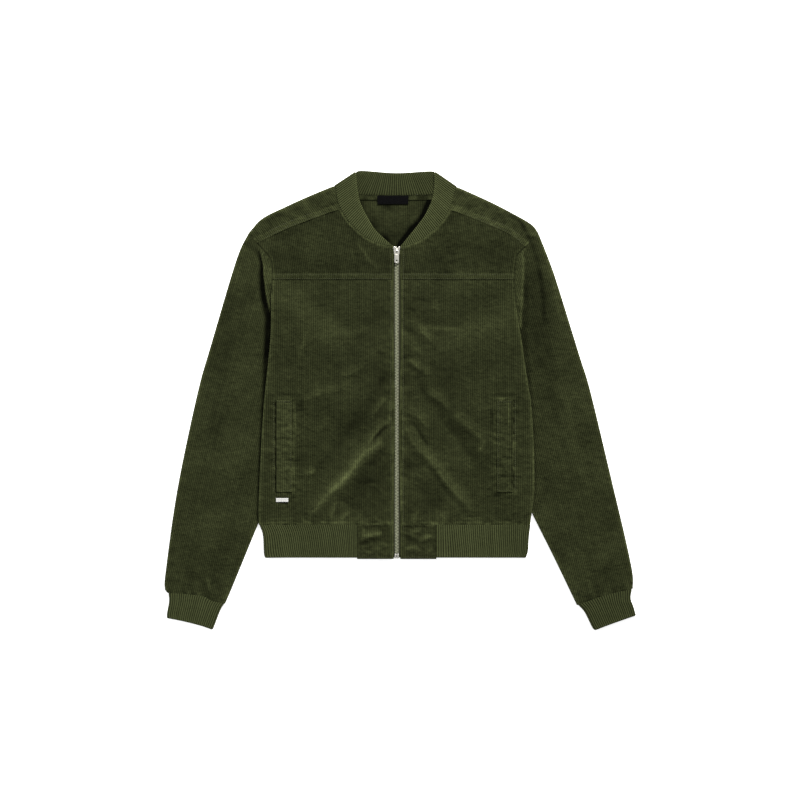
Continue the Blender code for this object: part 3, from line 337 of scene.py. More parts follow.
def smooth_line(points, steps=8):
    """A fine polyline on the Catmull-Rom curve through the points."""
    p = np.array(points, float)
    p = np.vstack([2 * p[0] - p[1], p, 2 * p[-1] - p[-2]])
    t = np.arange(steps)[:, None] / steps
    spans = [0.5 * (2 * b + (c - a) * t + (2 * a - 5 * b + 4 * c - d) * t ** 2
                    + (3 * b - a - 3 * c + d) * t ** 3) for a, b, c, d in zip(p, p[1:], p[2:], p[3:])]
    return np.vstack(spans + [p[-2:-1]])


def run_of(line):
    """How far along the line each of its points lies."""
    return np.concatenate([[0.0], np.cumsum(np.hypot(*np.diff(line[:, :2], axis=0).T))])


def along(line, share):
    """The points at these shares of the line's length."""
    run = run_of(line)
    at = np.asarray(share) * run[-1]
    return np.stack([np.interp(at, run, line[:, k]) for k in range(line.shape[1])], axis=-1)


def x_at(line, y):
    """Where a line that runs down the body crosses a height y."""
    order = np.argsort(line[:, 1], kind="stable")
    return np.interp(y, line[order, 1], line[order, 0])


def y_at(line, x):
    """Where a line that runs across the body crosses a distance x."""
    return x_at(line[:, ::-1], x)


def part_of(line, y_from, y_to):
    """The stretch of a line that runs down the body between two heights."""
    low, high = sorted((y_from, y_to))
    inside = line[(line[:, 1] > low + 0.5) & (line[:, 1] < high - 0.5)]
    ends = [np.array([[x_at(line, y), y]]) for y in (y_from, y_to)]
    if len(inside) > 1 and (inside[0, 1] - inside[-1, 1]) * (y_from - y_to) < 0:
        inside = inside[::-1]
    return np.vstack([ends[0], inside, ends[1]])


def line_gap(points, line):
    """For each point: its distance from a polyline, the share of the line there, and the side it lies on."""
    step = np.diff(line, axis=0)
    size = np.maximum(np.hypot(*step.T), 1e-9)
    run = run_of(line)
    best = np.full(len(points), np.inf)
    share = np.zeros(len(points))
    side = np.zeros(len(points))
    for k in range(len(step)):
        off = points - line[k]
        t = np.clip(off @ step[k] / size[k] ** 2, 0, 1)
        gap = np.hypot(off[:, 0] - t * step[k, 0], off[:, 1] - t * step[k, 1])
        closer = gap < best
        best[closer] = gap[closer]
        share[closer] = (run[k] + t[closer] * size[k]) / run[-1]
        side[closer] = np.sign(step[k, 0] * off[closer, 1] - step[k, 1] * off[closer, 0])
    return best, share, side


def stack(x, y):
    return np.stack([np.asarray(x, float), np.asarray(y, float)], axis=-1)


def gap_to(line, x, y):
    return line_gap(stack(x, y), line)[0]


OPEN_KEYS = ("shoulder", "strip_seam", "armhole", "side", "outer", "inner", "cuff_seam", "cuff_outer",
             "cuff_inner", "cuff_foot", "neck_seam", "neck_edge", "hem_edge")
LINES = {name: {key: smooth_line(side[key]) for key in OPEN_KEYS} for name, side in SIDES.items()}
NECK_LINE = smooth_line(BACK_NECK)
SHOULDER_CREASE = smooth_line(SHOULDER_CREASE, 4)
UNDER_EDGE = smooth_line([(-216, 276), (-202, 281), (-188, 287)], 4)
for folds in (FRONT_FOLDS, WELT_FOLDS, SLEEVE_FOLDS, BLOCK_FOLDS):
    folds[:] = [(smooth_line(route, 4), *rest) for route, *rest in folds]


# ---- Heights ----

LATTICE = RNG.uniform(-1, 1, (4, 64, 64))


def drift(x, y, size, layer=0):
    """Smooth random values, -1 to 1, that change over one size."""
    u, v = x / size + 17.3, y / size + 29.1
    i, j = np.floor(u).astype(int), np.floor(v).astype(int)
    s, t = smooth(u - i), smooth(v - j)
    grid = LATTICE[layer]
    i, j, i_next, j_next = i % 64, j % 64, (i + 1) % 64, (j + 1) % 64
    return mix(mix(grid[i, j], grid[i_next, j], s), mix(grid[i, j_next], grid[i_next, j_next], s), t)


def crumple(x, y, size=10.0):
    """Small creases: narrow crests between shallow dents, most of them across the wales."""
    bend = 0.7 * size * drift(x, y, 2.3 * size, 1)
    large = abs(drift(0.6 * x, y + bend, size, 0))
    small = abs(drift(0.7 * x + 300, y - bend, 0.5 * size, 2))
    return 0.7 * (0.45 - 1.5 * large) + 0.3 * (0.45 - 1.5 * small)


def fold_height(folds, x, y):
    """Height of the soft ridges and troughs at each point."""
    points = stack(x, y)
    height = np.zeros(len(points))
    for route, rise, before, after, _ in folds:
        gap, share, side = line_gap(points, route)
        width = np.where(side > 0, before, after)
        height += rise * bell(gap, width) * np.sin(np.pi * np.clip(share, 0.02, 0.98)) ** 0.6
    return height


def painted_fold_light(folds, x, y):
    """Painted light and shade of the folds: light on a ridge and on one side of it, dark in a trough."""
    points = stack(x, y)
    tone = np.zeros(len(points))
    uneven = 0.85 + 0.45 * drift(x, y, 13.0, 1) + 0.3 * drift(x, y, 5.0, 3)
    for route, rise, before, after, light in folds:
        gap, share, side = line_gap(points, route)
        taper = np.sin(np.pi * np.clip(share, 0, 1)) ** 0.5 * uneven
        if rise < 0:
            tone += light * bell(gap, np.where(side > 0, before, after)) * taper ** 0.4
        else:
            crest = bell(gap, 0.36 * min(before, after))
            flank = bell(gap, np.where(side > 0, 0.8 * before, 1.2 * after))
            tone += light * (0.75 * crest + 0.5 * flank) * taper
    return tone


def lift_on(name, x, y):
    side = SIDES[name]
    sign = side["sign"]
    end, underarm, gap_start = (np.array(side[key], float) for key in ("armhole_end", "underarm", "gap"))

    def outside(a, b):
        edge = (b - a) / np.hypot(*(b - a))
        return np.maximum(-sign * (edge[0] * (y - a[1]) - edge[1] * (x - a[0])), 0)

    away = np.hypot(outside(end, underarm), outside(underarm, gap_start))
    return BODY_LIFT * (1 - smooth((away - LIFT_MARGIN) / LIFT_REACH))


def air_on(name, x, y):
    armhole = LINES[name]["armhole"]
    beside_zip = smooth(1 - (abs(x - ZIP_X) - 20) / AIR_ZIP_REACH)
    beside_neck = smooth(1 - (np.hypot(x - NECK_MIDDLE[0], y - NECK_MIDDLE[1]) - 70) / 90)
    from_arm = abs(x - x_at(armhole, np.maximum(y, 150)))
    beside_arm = smooth(1 - from_arm / AIR_ARM_REACH) * smooth((y - 150) / 40)
    space = AIR_SIDE + np.maximum.reduce([(AIR_ZIP - AIR_SIDE) * beside_zip, (AIR_NECK - AIR_SIDE) * beside_neck,
                                          (AIR_ARM - AIR_SIDE) * beside_arm])
    creased = space + fold_height(FRONT_FOLDS, x, y)
    least = np.where(abs(x - ZIP_X) < 20, AIR_ZIP - 0.3, AIR_SIDE / 2)
    return np.minimum(np.maximum(creased, least), AIR_MOST)


def on_both(function, x, y):
    """A height that each side works out for itself, on points of either side."""
    return np.where(x < ZIP_X, function("left", x, y), function("right", x, y))


def lift(x, y):
    """How far the sleeve underneath lifts the body's side."""
    return on_both(lift_on, x, y)


def front_top(x, y):
    return lift(x, y) + 2 * CLOTH + on_both(air_on, x, y)


def strip_tone(seam, x, y):
    """Painted light on the sewn allowance, mottle and lit crests above it, painted shade under the edge and in
    the right shoulder's crease.
    """
    gap = gap_to(seam, x, y)
    tone = 0.12 + 0.3 * (gap < 9) + 0.3 * drift(x, y, 9.0, 2) + 0.5 * np.maximum(crumple(x, y, 9.0), 0)
    tone -= 0.4 * bell(gap - 9.6, 0.9)
    crease, share, _ = line_gap(stack(x, y), SHOULDER_CREASE)
    tone -= 0.25 * bell(gap_to(UNDER_EDGE, x, y), 3.0)
    return tone - 0.85 * smooth(0.3 + 3 * share) * bell(crease, 3.0)


def beyond_body(name, x, y):
    """How far out of the body's edge each point lies, and how much of that is the raised strip."""
    side, lines = SIDES[name], LINES[name]
    sign = side["sign"]
    end_y = side["end_y"]
    rows = np.array(side["strip"], float)
    seam_x = x_at(lines["armhole"], y)
    strip = np.where(y > end_y, np.interp(y, rows[::-1, 0], rows[::-1, 1]), 0)
    out = np.where(y > end_y, sign * (x - seam_x),
                   sign * (x - x_at(lines["side"], np.maximum(y, HEM_Y))) + np.maximum(HEM_Y - y, 0) / 2)
    return out, strip


def at_shoulder(name, y):
    """0 to 1 towards the shoulder point, where the sleeve lies flush with the body."""
    return smooth((y - SIDES[name]["armhole"][0][1] + 42) / 32)


def sleeve_top(name, x, y):
    """A sleeve's upper face: raised beside the armhole, low beside the body, then full."""
    end_y = SIDES[name]["end_y"]
    seam_x = x_at(LINES[name]["armhole"], y)
    out, strip = beyond_body(name, x, y)
    step = np.minimum(front_top(seam_x, y), SLEEVE_MOST) - SLEEVE_UNDER
    fade = 4 + 26 * at_shoulder(name, y)
    raised = step * smooth((y - end_y - 20) / 30) * (1 - smooth((out - strip + 1) / fade)) * (y > end_y)
    puff = smooth((out - strip) / 45)
    return SLEEVE_UNDER + np.maximum(raised, SLEEVE_PUFF * puff) + fold_height(SLEEVE_FOLDS, x, y) * puff


# ---- Skins: plan outlines filled with points in columns ----

def wale_height(place, form=WALE_FORM):
    """Pile height, 0 to 1, at a place counted in wales or ribs."""
    at, share = zip(*form)
    return np.interp(place - np.floor(place), at, share)


def crossings(outline, columns, rows):
    """The outline with a point more wherever a column or, on its steep stretches, a row crosses it.

    Also gives the part of the outline that each point starts, and the heights at which each column goes in
    or out.
    """
    loop, part, hits = [], [], {}
    for k, p in enumerate(outline):
        q = outline[(k + 1) % len(outline)]
        step = q - p
        size = np.hypot(*step)
        cuts = [(0.0, None)]
        if step[0]:
            low, high = sorted((p[0], q[0]))
            for j in range(np.searchsorted(columns, low, "right"), np.searchsorted(columns, high, "left")):
                cuts.append(((columns[j] - p[0]) / step[0], j))
        if abs(step[1]) > abs(step[0]):
            low, high = sorted((p[1], q[1]))
            for y in rows[(rows > low + 0.3) & (rows < high - 0.3)]:
                cuts.append(((y - p[1]) / step[1], None))
        last = -1.0
        for share, column in sorted(cuts, key=lambda cut: cut[0]):
            if column is None and (share - last) * size < 0.3 and share > 0:
                continue
            last = share
            loop.append(p + step * share)
            part.append(k)
            if column is not None:
                hits.setdefault(column, []).append(loop[-1][1])
    return np.array(loop), np.array(part), hits


def inward(loop):
    """The unit vector that points into the outline at each point of it."""
    before, after = np.roll(loop, 1, axis=0), np.roll(loop, -1, axis=0)
    way = after - before
    way /= np.maximum(np.hypot(*way.T), 1e-9)[:, None]
    area = np.sum(loop[:, 0] * after[:, 1] - after[:, 0] * loop[:, 1])
    return np.sign(area) * stack(-way[:, 1], way[:, 0])


def fill(loop, inner, chains):
    """Triangles over an outline and the points in it: plan points, corners, and where the outline's went."""
    points = [Vector(p) for p in np.vstack([loop, inner])]
    chains = [(a + len(loop), b + len(loop)) for a, b in chains]
    plan, _, faces, origin, _, _ = delaunay_2d_cdt(points, chains, [list(range(len(loop)))], 1, 1e-4)
    rim = np.zeros(len(loop), int)
    for new, olds in enumerate(origin):
        for old in olds:
            if old < len(loop):
                rim[old] = new
    return np.array([tuple(p) for p in plan]), np.array(faces), rim


class Cut:
    """A cut piece in plan: its outline, which of its edges are rolled or folded, and its grain.

    grain(y) is how far a wale has wandered in X at a height y. Kinds of edge: "cut", "fold" and "roll".
    """

    def __init__(self, edges, grain=None, pitch=WALE, row=ROW, extra_rows=()):
        edges = [(kind, np.asarray(line, float)) for kind, line in edges]
        x, y = np.vstack([line[:-1] for _, line in edges]).T
        if np.sum(x * np.roll(y, -1) - np.roll(x, -1) * y) < 0:
            edges = [(kind, line[::-1]) for kind, line in reversed(edges)]
        points, kinds = [], []
        for kind, line in edges:
            points += list(line[:-1])
            kinds += [kind] * (len(line) - 1)
        self.outline = np.array(points)
        self.kinds = kinds
        self.edges = edges
        self.grain = grain or (lambda y: 0 * y)
        self.pitch = pitch
        self.row = row
        low, high = self.outline[:, 1].min(), self.outline[:, 1].max()
        rows = np.arange(math.ceil(low / row) * row, high, row)
        self.rows = np.unique(np.concatenate([rows, extra_rows]))
        flat = self.straight(self.outline)
        first = math.floor(flat[:, 0].min() / pitch)
        last = math.ceil(flat[:, 0].max() / pitch)
        offsets = np.array([at for at, _ in WALE_FORM[:-1]])
        self.columns = ((np.arange(first, last)[:, None] + offsets) * pitch).ravel() + 1.3e-3
        self.loop, self.part, self.hits = crossings(flat, self.columns, self.rows)

    def straight(self, points):
        """Plan points with the grain taken out, so that every wale runs along Y."""
        return stack(points[:, 0] - self.grain(points[:, 1]), points[:, 1])

    def bent(self, points):
        return stack(points[:, 0] + self.grain(points[:, 1]), points[:, 1])

    def gaps(self, kind, plan):
        """Distance of plan points from the edges of one kind."""
        best = np.full(len(plan), 1e3)
        for edge_kind, line in self.edges:
            if edge_kind == kind:
                best = np.minimum(best, line_gap(plan, line)[0])
        return best

    def roll_gap(self, skin, inset=0.0):
        """Distance of a skin's points from the rolled edges, true to the last digit on its rim."""
        gap = self.gaps("roll", skin["plan"]) - inset
        gap[skin["rim"][self.rim_share("roll")]] = 0.0
        return np.maximum(gap, 0)

    def held(self, skin, inset=0.0):
        """0 on rolled and folded edges, 1 on the flat of the piece."""
        return smooth(self.roll_gap(skin, inset) / 2.5) * smooth(self.gaps("fold", skin["plan"]) / 1.4)

    def edge_gap(self, plan):
        return np.minimum.reduce([self.gaps(kind, plan) for kind in set(self.kinds)])

    def fine(self, window=None, rings=(0.45, 1.3)):
        """Points inside the outline along its wales; with a window (x0, x1, y0, y1) only there."""
        points, chains = [], []
        margin = rings[-1] + 0.9
        for j, heights in self.hits.items():
            heights = sorted(heights)
            for low, high in zip(heights[::2], heights[1::2]):
                for y in self.rows[(self.rows > low + margin) & (self.rows < high - margin)]:
                    points.append((self.columns[j], y, j))
        points = np.array(points).reshape(-1, 3)
        keep = self.edge_gap(self.bent(points)) > margin
        if window:
            x0, x1, y0, y1 = window
            keep &= (points[:, 0] > x0) & (points[:, 0] < x1) & (points[:, 1] > y0) & (points[:, 1] < y1)
        points = points[keep]
        same = (points[1:, 2] == points[:-1, 2]) & (points[1:, 1] - points[:-1, 1] < 1.5 * self.row)
        chains = [(k, k + 1) for k in np.nonzero(same)[0]]
        rims = []
        facing = inward(self.loop)
        for gap in rings:
            ring = self.loop + facing * gap
            rims.append(ring[self.edge_gap(self.bent(ring)) > 0.85 * gap])
        return np.vstack([points[:, :2]] + rims), chains

    def coarse(self, step=7.0):
        """A few points inside the outline, for a side that nobody sees."""
        low, high = self.loop.min(0), self.loop.max(0)
        grid = np.stack(np.meshgrid(np.arange(low[0], high[0], step), np.arange(low[1], high[1], step)), -1)
        grid = grid.reshape(-1, 2)
        inside = np.zeros(len(grid), bool)
        for a, b in zip(self.loop, np.roll(self.loop, -1, axis=0)):
            across = (a[1] > grid[:, 1]) != (b[1] > grid[:, 1])
            if across.any():
                crossing = a[0] + (grid[:, 1] - a[1]) * (b[0] - a[0]) / ((b[1] - a[1]) or 1)
                inside ^= across & (grid[:, 0] < crossing)
        grid = grid[inside]
        return grid[self.edge_gap(self.bent(grid)) > 0.4 * step], []

    def skin(self, inside, inset=None):
        """A filled skin: straightened plan points, real plan points, corners and rim. inset moves its rim."""
        loop = self.loop
        if inset is not None:
            loop = loop + inward(loop) * inset[:, None]
        flat, faces, rim = fill(loop, *inside)
        flat[rim] = loop
        return {"flat": flat, "plan": self.bent(flat), "faces": faces, "rim": rim}

    def rim_share(self, kind):
        """For each point of the outline, whether an edge of this kind starts or ends there."""
        on = np.array([self.kinds[k] == kind for k in self.part])
        return on | np.roll(on, 1)


def rolled(gap, radius):
    """How far a rolled edge has dropped at a distance from its outermost line."""
    reach = np.clip(radius - gap, 0, radius)
    return radius - np.sqrt(np.maximum(radius ** 2 - reach ** 2, 0))


def face_out(piece):
    bm = bmesh.new()
    bm.from_mesh(piece.data)
    bmesh.ops.recalc_face_normals(bm, faces=bm.faces)
    bm.to_mesh(piece.data)
    bm.free()


def mesh_object(name, verts, faces, cloth, material, smooth_angle=50, tone=None):
    mesh = bpy.data.meshes.new(name)
    mesh.from_pydata((np.asarray(verts) * MM).tolist(), [], [tuple(int(k) for k in f) for f in faces])
    data = mesh.attributes.new("cloth", "FLOAT_VECTOR", "POINT")
    data.data.foreach_set("vector", np.asarray(cloth, np.float32).ravel())
    # tone: painted light and shade, with random mottle, that the material multiplies into the colour
    data = mesh.attributes.new("tone", "FLOAT", "POINT")
    data.data.foreach_set("value", np.asarray(np.zeros(len(cloth)) if tone is None else tone, np.float32))
    mesh.materials.append(material)
    mesh.polygons.foreach_set("use_smooth", [True] * len(mesh.polygons))
    mesh.set_sharp_from_angle(angle=math.radians(smooth_angle))
    piece = bpy.data.objects.new(name, mesh)
    bpy.context.scene.collection.objects.link(piece)
    return piece


SAME_PLACE = 2e-3      # points nearer than this are one


def weld(verts, faces, cloth):
    """Joins points that lie in one place and drops the faces that this closes up."""
    keys = np.round(np.asarray(verts) / SAME_PLACE).astype(np.int64)
    _, first, back = np.unique(keys, axis=0, return_index=True, return_inverse=True)
    back = back.ravel()
    faces = [tuple(dict.fromkeys(back[list(f)])) for f in faces]
    faces = [f for f in faces if len(f) > 2]
    return np.asarray(verts)[first], faces, np.asarray(cloth)[first]


class Shell:
    """Gathers skins and the strips between their rims into one mesh."""

    def __init__(self):
        self.verts, self.faces, self.cloth, self.count = [], [], [], 0

    def add(self, skin, z, pile, cut, up=True, tone=0.0):
        start = self.count
        points = np.column_stack([skin["plan"], z])
        n = len(points)
        self.verts.append(points)
        self.cloth.append(np.column_stack([skin["flat"][:, 0] / cut.pitch, skin["flat"][:, 1],
                                           np.broadcast_to(pile, n), np.broadcast_to(tone, n)]))
        faces = skin["faces"] + start
        self.faces += [tuple(f) for f in (faces if up else faces[:, ::-1])]
        self.count += len(points)
        return skin["rim"] + start

    def join(self, upper, lower, where=None):
        """A strip of faces between two rims that match point for point; the outline runs anticlockwise."""
        n = len(upper)
        for k in range(n):
            j = (k + 1) % n
            if where is not None and not where[k]:
                continue
            face = (upper[k], lower[k], lower[j], upper[j])
            if len(set(face)) > 2:
                self.faces.append(tuple(dict.fromkeys(face)))

    def make(self, name, material, welded=False):
        verts, cloth = np.vstack(self.verts), np.vstack(self.cloth)
        faces = self.faces
        if welded:
            verts, faces, cloth = weld(verts, faces, cloth)
        return mesh_object(name, verts, faces, cloth[:, :3], material, tone=cloth[:, 3])


# ---- Looks ----

class Looks:
    """A material while its nodes are being wired."""

    def __init__(self, name, **fixed):
        self.material = bpy.data.materials.new(name)
        self.material.use_nodes = True
        self.tree = self.material.node_tree
        self.shader = self.tree.nodes["Principled BSDF"]
        for socket, value in fixed.items():
            self.shader.inputs[socket.replace("_", " ")].default_value = value

    def add(self, kind, inputs=None, **settings):
        node = self.tree.nodes.new(kind)
        for key, value in settings.items():
            setattr(node, key, value)
        for socket, value in (inputs or {}).items():
            self.feed(node.inputs[socket], value)
        return node

    def feed(self, socket, value):
        if isinstance(value, bpy.types.NodeSocket):
            self.tree.links.new(value, socket)
        else:
            socket.default_value = value

    def math(self, operation, *values):
        node = self.add("ShaderNodeMath", operation=operation)
        for socket, value in zip(node.inputs, values):
            self.feed(socket, value)
        return node.outputs[0]

    def product(self, first, *others):
        for other in others:
            first = self.math("MULTIPLY", first, other)
        return first

    def total(self, first, *others):
        for other in others:
            first = self.math("ADD", first, other)
        return first

    def spread(self, value, low, high):
        """A 0 to 1 value spread over another range."""
        return self.add("ShaderNodeMapRange", {0: value, 3: low, 4: high}).outputs[0]

    def noise(self, vector, scale, detail=2.0):
        return self.add("ShaderNodeTexNoise", {"Vector": vector, "Scale": scale, "Detail": detail}).outputs[0]

    def shades(self, value, stops):
        node = self.add("ShaderNodeValToRGB", {0: value})
        ramp = node.color_ramp
        while len(ramp.elements) < len(stops):
            ramp.elements.new(0.5)
        for element, (at, colour) in zip(ramp.elements, stops):
            element.position = at
            element.color = (*colour, 1.0)
        return node.outputs[0]

    def place(self):
        """Place across in wales, place along in millimetres, pile height and tone, as a mesh carries them."""
        cloth = self.add("ShaderNodeSeparateXYZ", {0: self.add("ShaderNodeAttribute",
                                                               attribute_name="cloth").outputs["Vector"]})
        tone = self.add("ShaderNodeAttribute", attribute_name="tone").outputs["Fac"]
        return [*cloth.outputs, tone]

    def point(self):
        return self.add("ShaderNodeTexCoord").outputs["Object"]

    def vector(self, *values):
        node = self.add("ShaderNodeCombineXYZ")
        for socket, value in zip(node.inputs, values):
            self.feed(socket, value)
        return node.outputs[0]

    def bump(self, height, distance):
        node = self.add("ShaderNodeBump", {"Height": height, "Distance": distance * MM, "Strength": 1.0})
        self.feed(self.shader.inputs["Normal"], node.outputs[0])

    def colour(self, colour, shade):
        """The base colour: a colour scaled by a value."""
        tinted = self.add("ShaderNodeVectorMath", {0: colour, 1: self.vector(shade, shade, shade)},
                          operation="MULTIPLY")
        self.feed(self.shader.inputs["Base Color"], tinted.outputs[0])

    def rough(self, value):
        self.feed(self.shader.inputs["Roughness"], value)


def pile_looks(name, groove, crest, thread, creased, uneven, middle):
    """Cut pile on wales or knitted ribs: dark between them, partly as painted shade, each a little different,
    with fine napped fibres.
    """
    looks = Looks(name, Sheen_Weight=0.08, Sheen_Roughness=0.35, Sheen_Tint=(0.72, 0.80, 0.34, 1.0),
                  Specular_IOR_Level=0.02)
    across, run, pile, tone = looks.place()
    place = looks.point()
    stops = [(0.0, groove)]
    for at, share in ((0.45, middle), (0.8, 0.98), (1.0, 1.85 - middle)):
        stops.append((at, tuple(share * c for c in crest)))
    each = looks.add("ShaderNodeTexWhiteNoise", {"W": looks.math("FLOOR", across)},
                     noise_dimensions="1D").outputs["Value"]
    streak = looks.noise(looks.vector(looks.product(across, 1.1), looks.product(run, 0.3), 0.0), 1.0, 3.0)
    patch = looks.noise(place, 14.0)
    x, y, z = looks.add("ShaderNodeSeparateXYZ", {0: place}).outputs
    crush = looks.noise(looks.vector(looks.product(x, 0.8), y, z), 120.0, 3.0)
    wrinkle = looks.noise(looks.vector(looks.product(x, 0.7), y, z), 190.0)
    nap_and_slope_light = looks.noise(place, thread)
    # the mesh's tone, painted light and shade with mottle, scales the colour with the rest
    shade = looks.product(looks.spread(each, 0.92, 1.08), looks.spread(streak, 1 - uneven, 1 + uneven),
                          looks.spread(patch, 0.86, 1.14),
                          looks.spread(crush, 1 - 0.5 * uneven, 1 + 0.5 * uneven),
                          looks.spread(nap_and_slope_light, 0.6, 1.4), looks.math("MAXIMUM", looks.total(tone, 1.0), 0.04))
    looks.colour(looks.shades(pile, stops), shade)
    looks.rough(looks.spread(nap_and_slope_light, 0.8, 1.0))
    looks.bump(looks.total(looks.product(nap_and_slope_light, 0.2), looks.product(streak, 0.12),
                           looks.product(crush, creased), looks.product(wrinkle, 0.35 * creased)), 1.0)
    return looks.material


def thread_looks(name, colour):
    """Twisted sewing thread."""
    pitch = 0.45
    looks = Looks(name, Sheen_Weight=0.1, Roughness=0.75, Specular_IOR_Level=0.15)
    around, run, _, _ = looks.place()
    twist = looks.math("SINE", looks.total(looks.product(run, 6.28 / pitch), looks.product(around, 6.28)))
    looks.colour(colour, looks.spread(twist, 0.75, 1.2))
    looks.bump(twist, 0.06)
    return looks.material


def weave_looks(name, colour, pitch, roughness, sheen=0.1, contrast=0.35):
    """A flat weave: threads over and under each other, the pitch in mm."""
    looks = Looks(name, Sheen_Weight=sheen, Specular_IOR_Level=0.04)
    place = looks.point()
    x, y, _ = looks.add("ShaderNodeSeparateXYZ", {0: place}).outputs
    weft, warp = (looks.math("SINE", looks.product(looks.math(way, x, y), 3.14159 / (pitch * MM)))
                  for way in ("ADD", "SUBTRACT"))
    over = looks.product(weft, warp)
    grain = looks.noise(place, 900.0)
    looks.colour(colour, looks.product(looks.spread(over, 1.0 - contrast, 1.0 + contrast),
                                       looks.spread(grain, 0.8, 1.2)))
    looks.rough(looks.spread(grain, roughness - 0.08, roughness + 0.1))
    looks.bump(over, 0.12)
    return looks.material


def metal_looks(name, colour, roughness, metallic):
    """Die-cast metal with fine wear and a little grime, both as random noise over it."""
    looks = Looks(name, Metallic=metallic)
    place = looks.point()
    wear, fine = looks.noise(place, 350.0, 4.0), looks.noise(place, 2400.0)
    looks.colour(colour, looks.product(looks.spread(wear, 0.62, 1.25), looks.spread(fine, 0.9, 1.1)))
    looks.rough(looks.product(looks.spread(wear, 1.5, 0.6), roughness))
    looks.bump(looks.total(wear, fine), 0.03)
    return looks.material


def floor_looks():
    looks = Looks("paper", Specular_IOR_Level=0.1, Roughness=0.9, Emission_Color=(1.0, 1.0, 1.0, 1.0),
                  Emission_Strength=0.7)
    looks.colour((0.93, 0.93, 0.92), looks.spread(looks.noise(looks.point(), 60.0, 3.0), 0.985, 1.015))
    return looks.material


# ---- Panels ----

SLACK = 0.5            # how far the cloth may sag into its own room
WAVES = [(math.cos(turn) * 2 * math.pi / size, math.sin(turn) * 2 * math.pi / size, phase,
          0.0027 * size ** 0.85)
         for turn, size, phase in zip(RNG.uniform(0, math.pi, 10), RNG.uniform(24, 110, 10),
                                      RNG.uniform(0, 6.28, 10))]


def unevenness(x, y):
    """The slow unevenness of cloth that lies loosely."""
    x, y = x + 12 * np.sin(y / 37 + 1), y + 12 * np.sin(x / 41 + 2)
    height = sum(size * np.sin(x * kx + y * ky + phase) for kx, ky, phase, size in WAVES)
    return np.where(height < 0, SLACK * np.tanh(height / SLACK), height)


def slope_table(slopes):
    """A grain function from rows of (y, sideways millimetres for each millimetre up)."""
    ys = np.arange(-400.0, 401.0, 1.0)
    rate = np.interp(ys, [y for y, _ in slopes], [rate for _, rate in slopes])
    run = np.concatenate([[0.0], np.cumsum((rate[1:] + rate[:-1]) / 2)])
    return lambda y: np.interp(y, ys, run)


def depth(cut, skin, radius, relief=0.0):
    """How far each point lies below the crests' height, and its pile height."""
    plan = skin["plan"]
    pile = wale_height(skin["flat"][:, 0] / cut.pitch)
    roll_gap, fold_gap = cut.roll_gap(skin), cut.gaps("fold", plan)
    held = cut.held(skin)
    sunk = 0.2 * bell(cut.gaps("cut", plan), 1.7)
    form = sunk + WALE_RISE * (1 - pile) - relief
    return rolled(roll_gap, radius) + rolled(fold_gap, 0.75) + held * form, pile


def hollow(cut, skin, radius, curl):
    """How far the cloth's other face lies below the crests' height."""
    gap = cut.roll_gap(skin, CLOTH * curl)
    return CLOTH + rolled(gap, np.maximum(radius - CLOTH * curl, 0))


def curl_on(name, x, y):
    return 1 - smooth((y - SIDES[name]["end_y"]) / 30)


def curl_of_both(x, y):
    return on_both(curl_on, x, y)


KEY_SIDE = np.array([0.28, 0.96])     # where the light comes from, in plan
SLOPE_REACH = 1.5        # a slope is measured this far to each side


def nap_and_slope_light(height, x, y):
    """Painted light and shade by slope: lighter on slopes that face the light, darker on those that turn away.
    """
    dx, dy = KEY_SIDE * SLOPE_REACH
    slope = (height(x - dx, y - dy) - height(x + dx, y + dy)) / (2 * SLOPE_REACH)
    turned = np.tanh(2.2 * slope)
    return np.where(turned > 0, 0.9, 0.3) * turned


def painted_relief_light(top, relief, x, y):
    """Painted light and shade over a piece: by its slopes, and lighter on small crests than in small dents."""
    return nap_and_slope_light(lambda x, y: top(x, y) + relief(x, y), x, y) + np.clip(0.3 * (relief(x, y) - 0.2), -0.25, 0.35)


def dressed(piece, slot, *nodes):
    for node in nodes:
        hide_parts(node)
    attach(piece, "root")
    return piece


def declare(piece, cut, rests_on, times=1, pieces=()):
    """Works out a panel's flat size and reads its lists, then keeps none of it; times, for a sleeve open only at
    its ends, is not used.
    """
    wide, high = np.ptp(cut.outline, axis=0)
    list(pieces)
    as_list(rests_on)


def rim_light(cut, skin):
    """Pile stands out sideways along a rolled edge and catches the light."""
    return 1.5 * np.exp(-cut.roll_gap(skin) / 2.1)


def rolled_inset(cut, curl):
    """How far the cloth's other face starts inside a rolled edge, at each point of the outline."""
    return CLOTH * curl(*cut.bent(cut.loop).T) * cut.rim_share("roll")


def single(name, cut, top, radius, curl, relief, material, slot, node, tone):
    """A panel with one face up: fine wales above, plain cloth below that follows its slow waves only."""
    shell = Shell()
    outer = cut.skin(cut.fine())
    x, y = outer["plan"].T
    down, pile = depth(cut, outer, radius(x, y), relief(x, y))
    lit = painted_relief_light(top, relief, x, y) + tone(x, y) + rim_light(cut, outer)
    upper = shell.add(outer, top(x, y) - down, pile, cut, tone=lit)
    inner = cut.skin(cut.coarse(6.0), rolled_inset(cut, curl))
    x, y = inner["plan"].T
    slow = unevenness(x, y) * cut.held(inner, CLOTH * curl(x, y))
    height = top(x, y) + slow - hollow(cut, inner, radius(x, y), curl(x, y))
    lower = shell.add(inner, height, 0.4, cut, up=False)
    shell.join(upper, lower)
    return dressed(shell.make(name, material), slot, node)


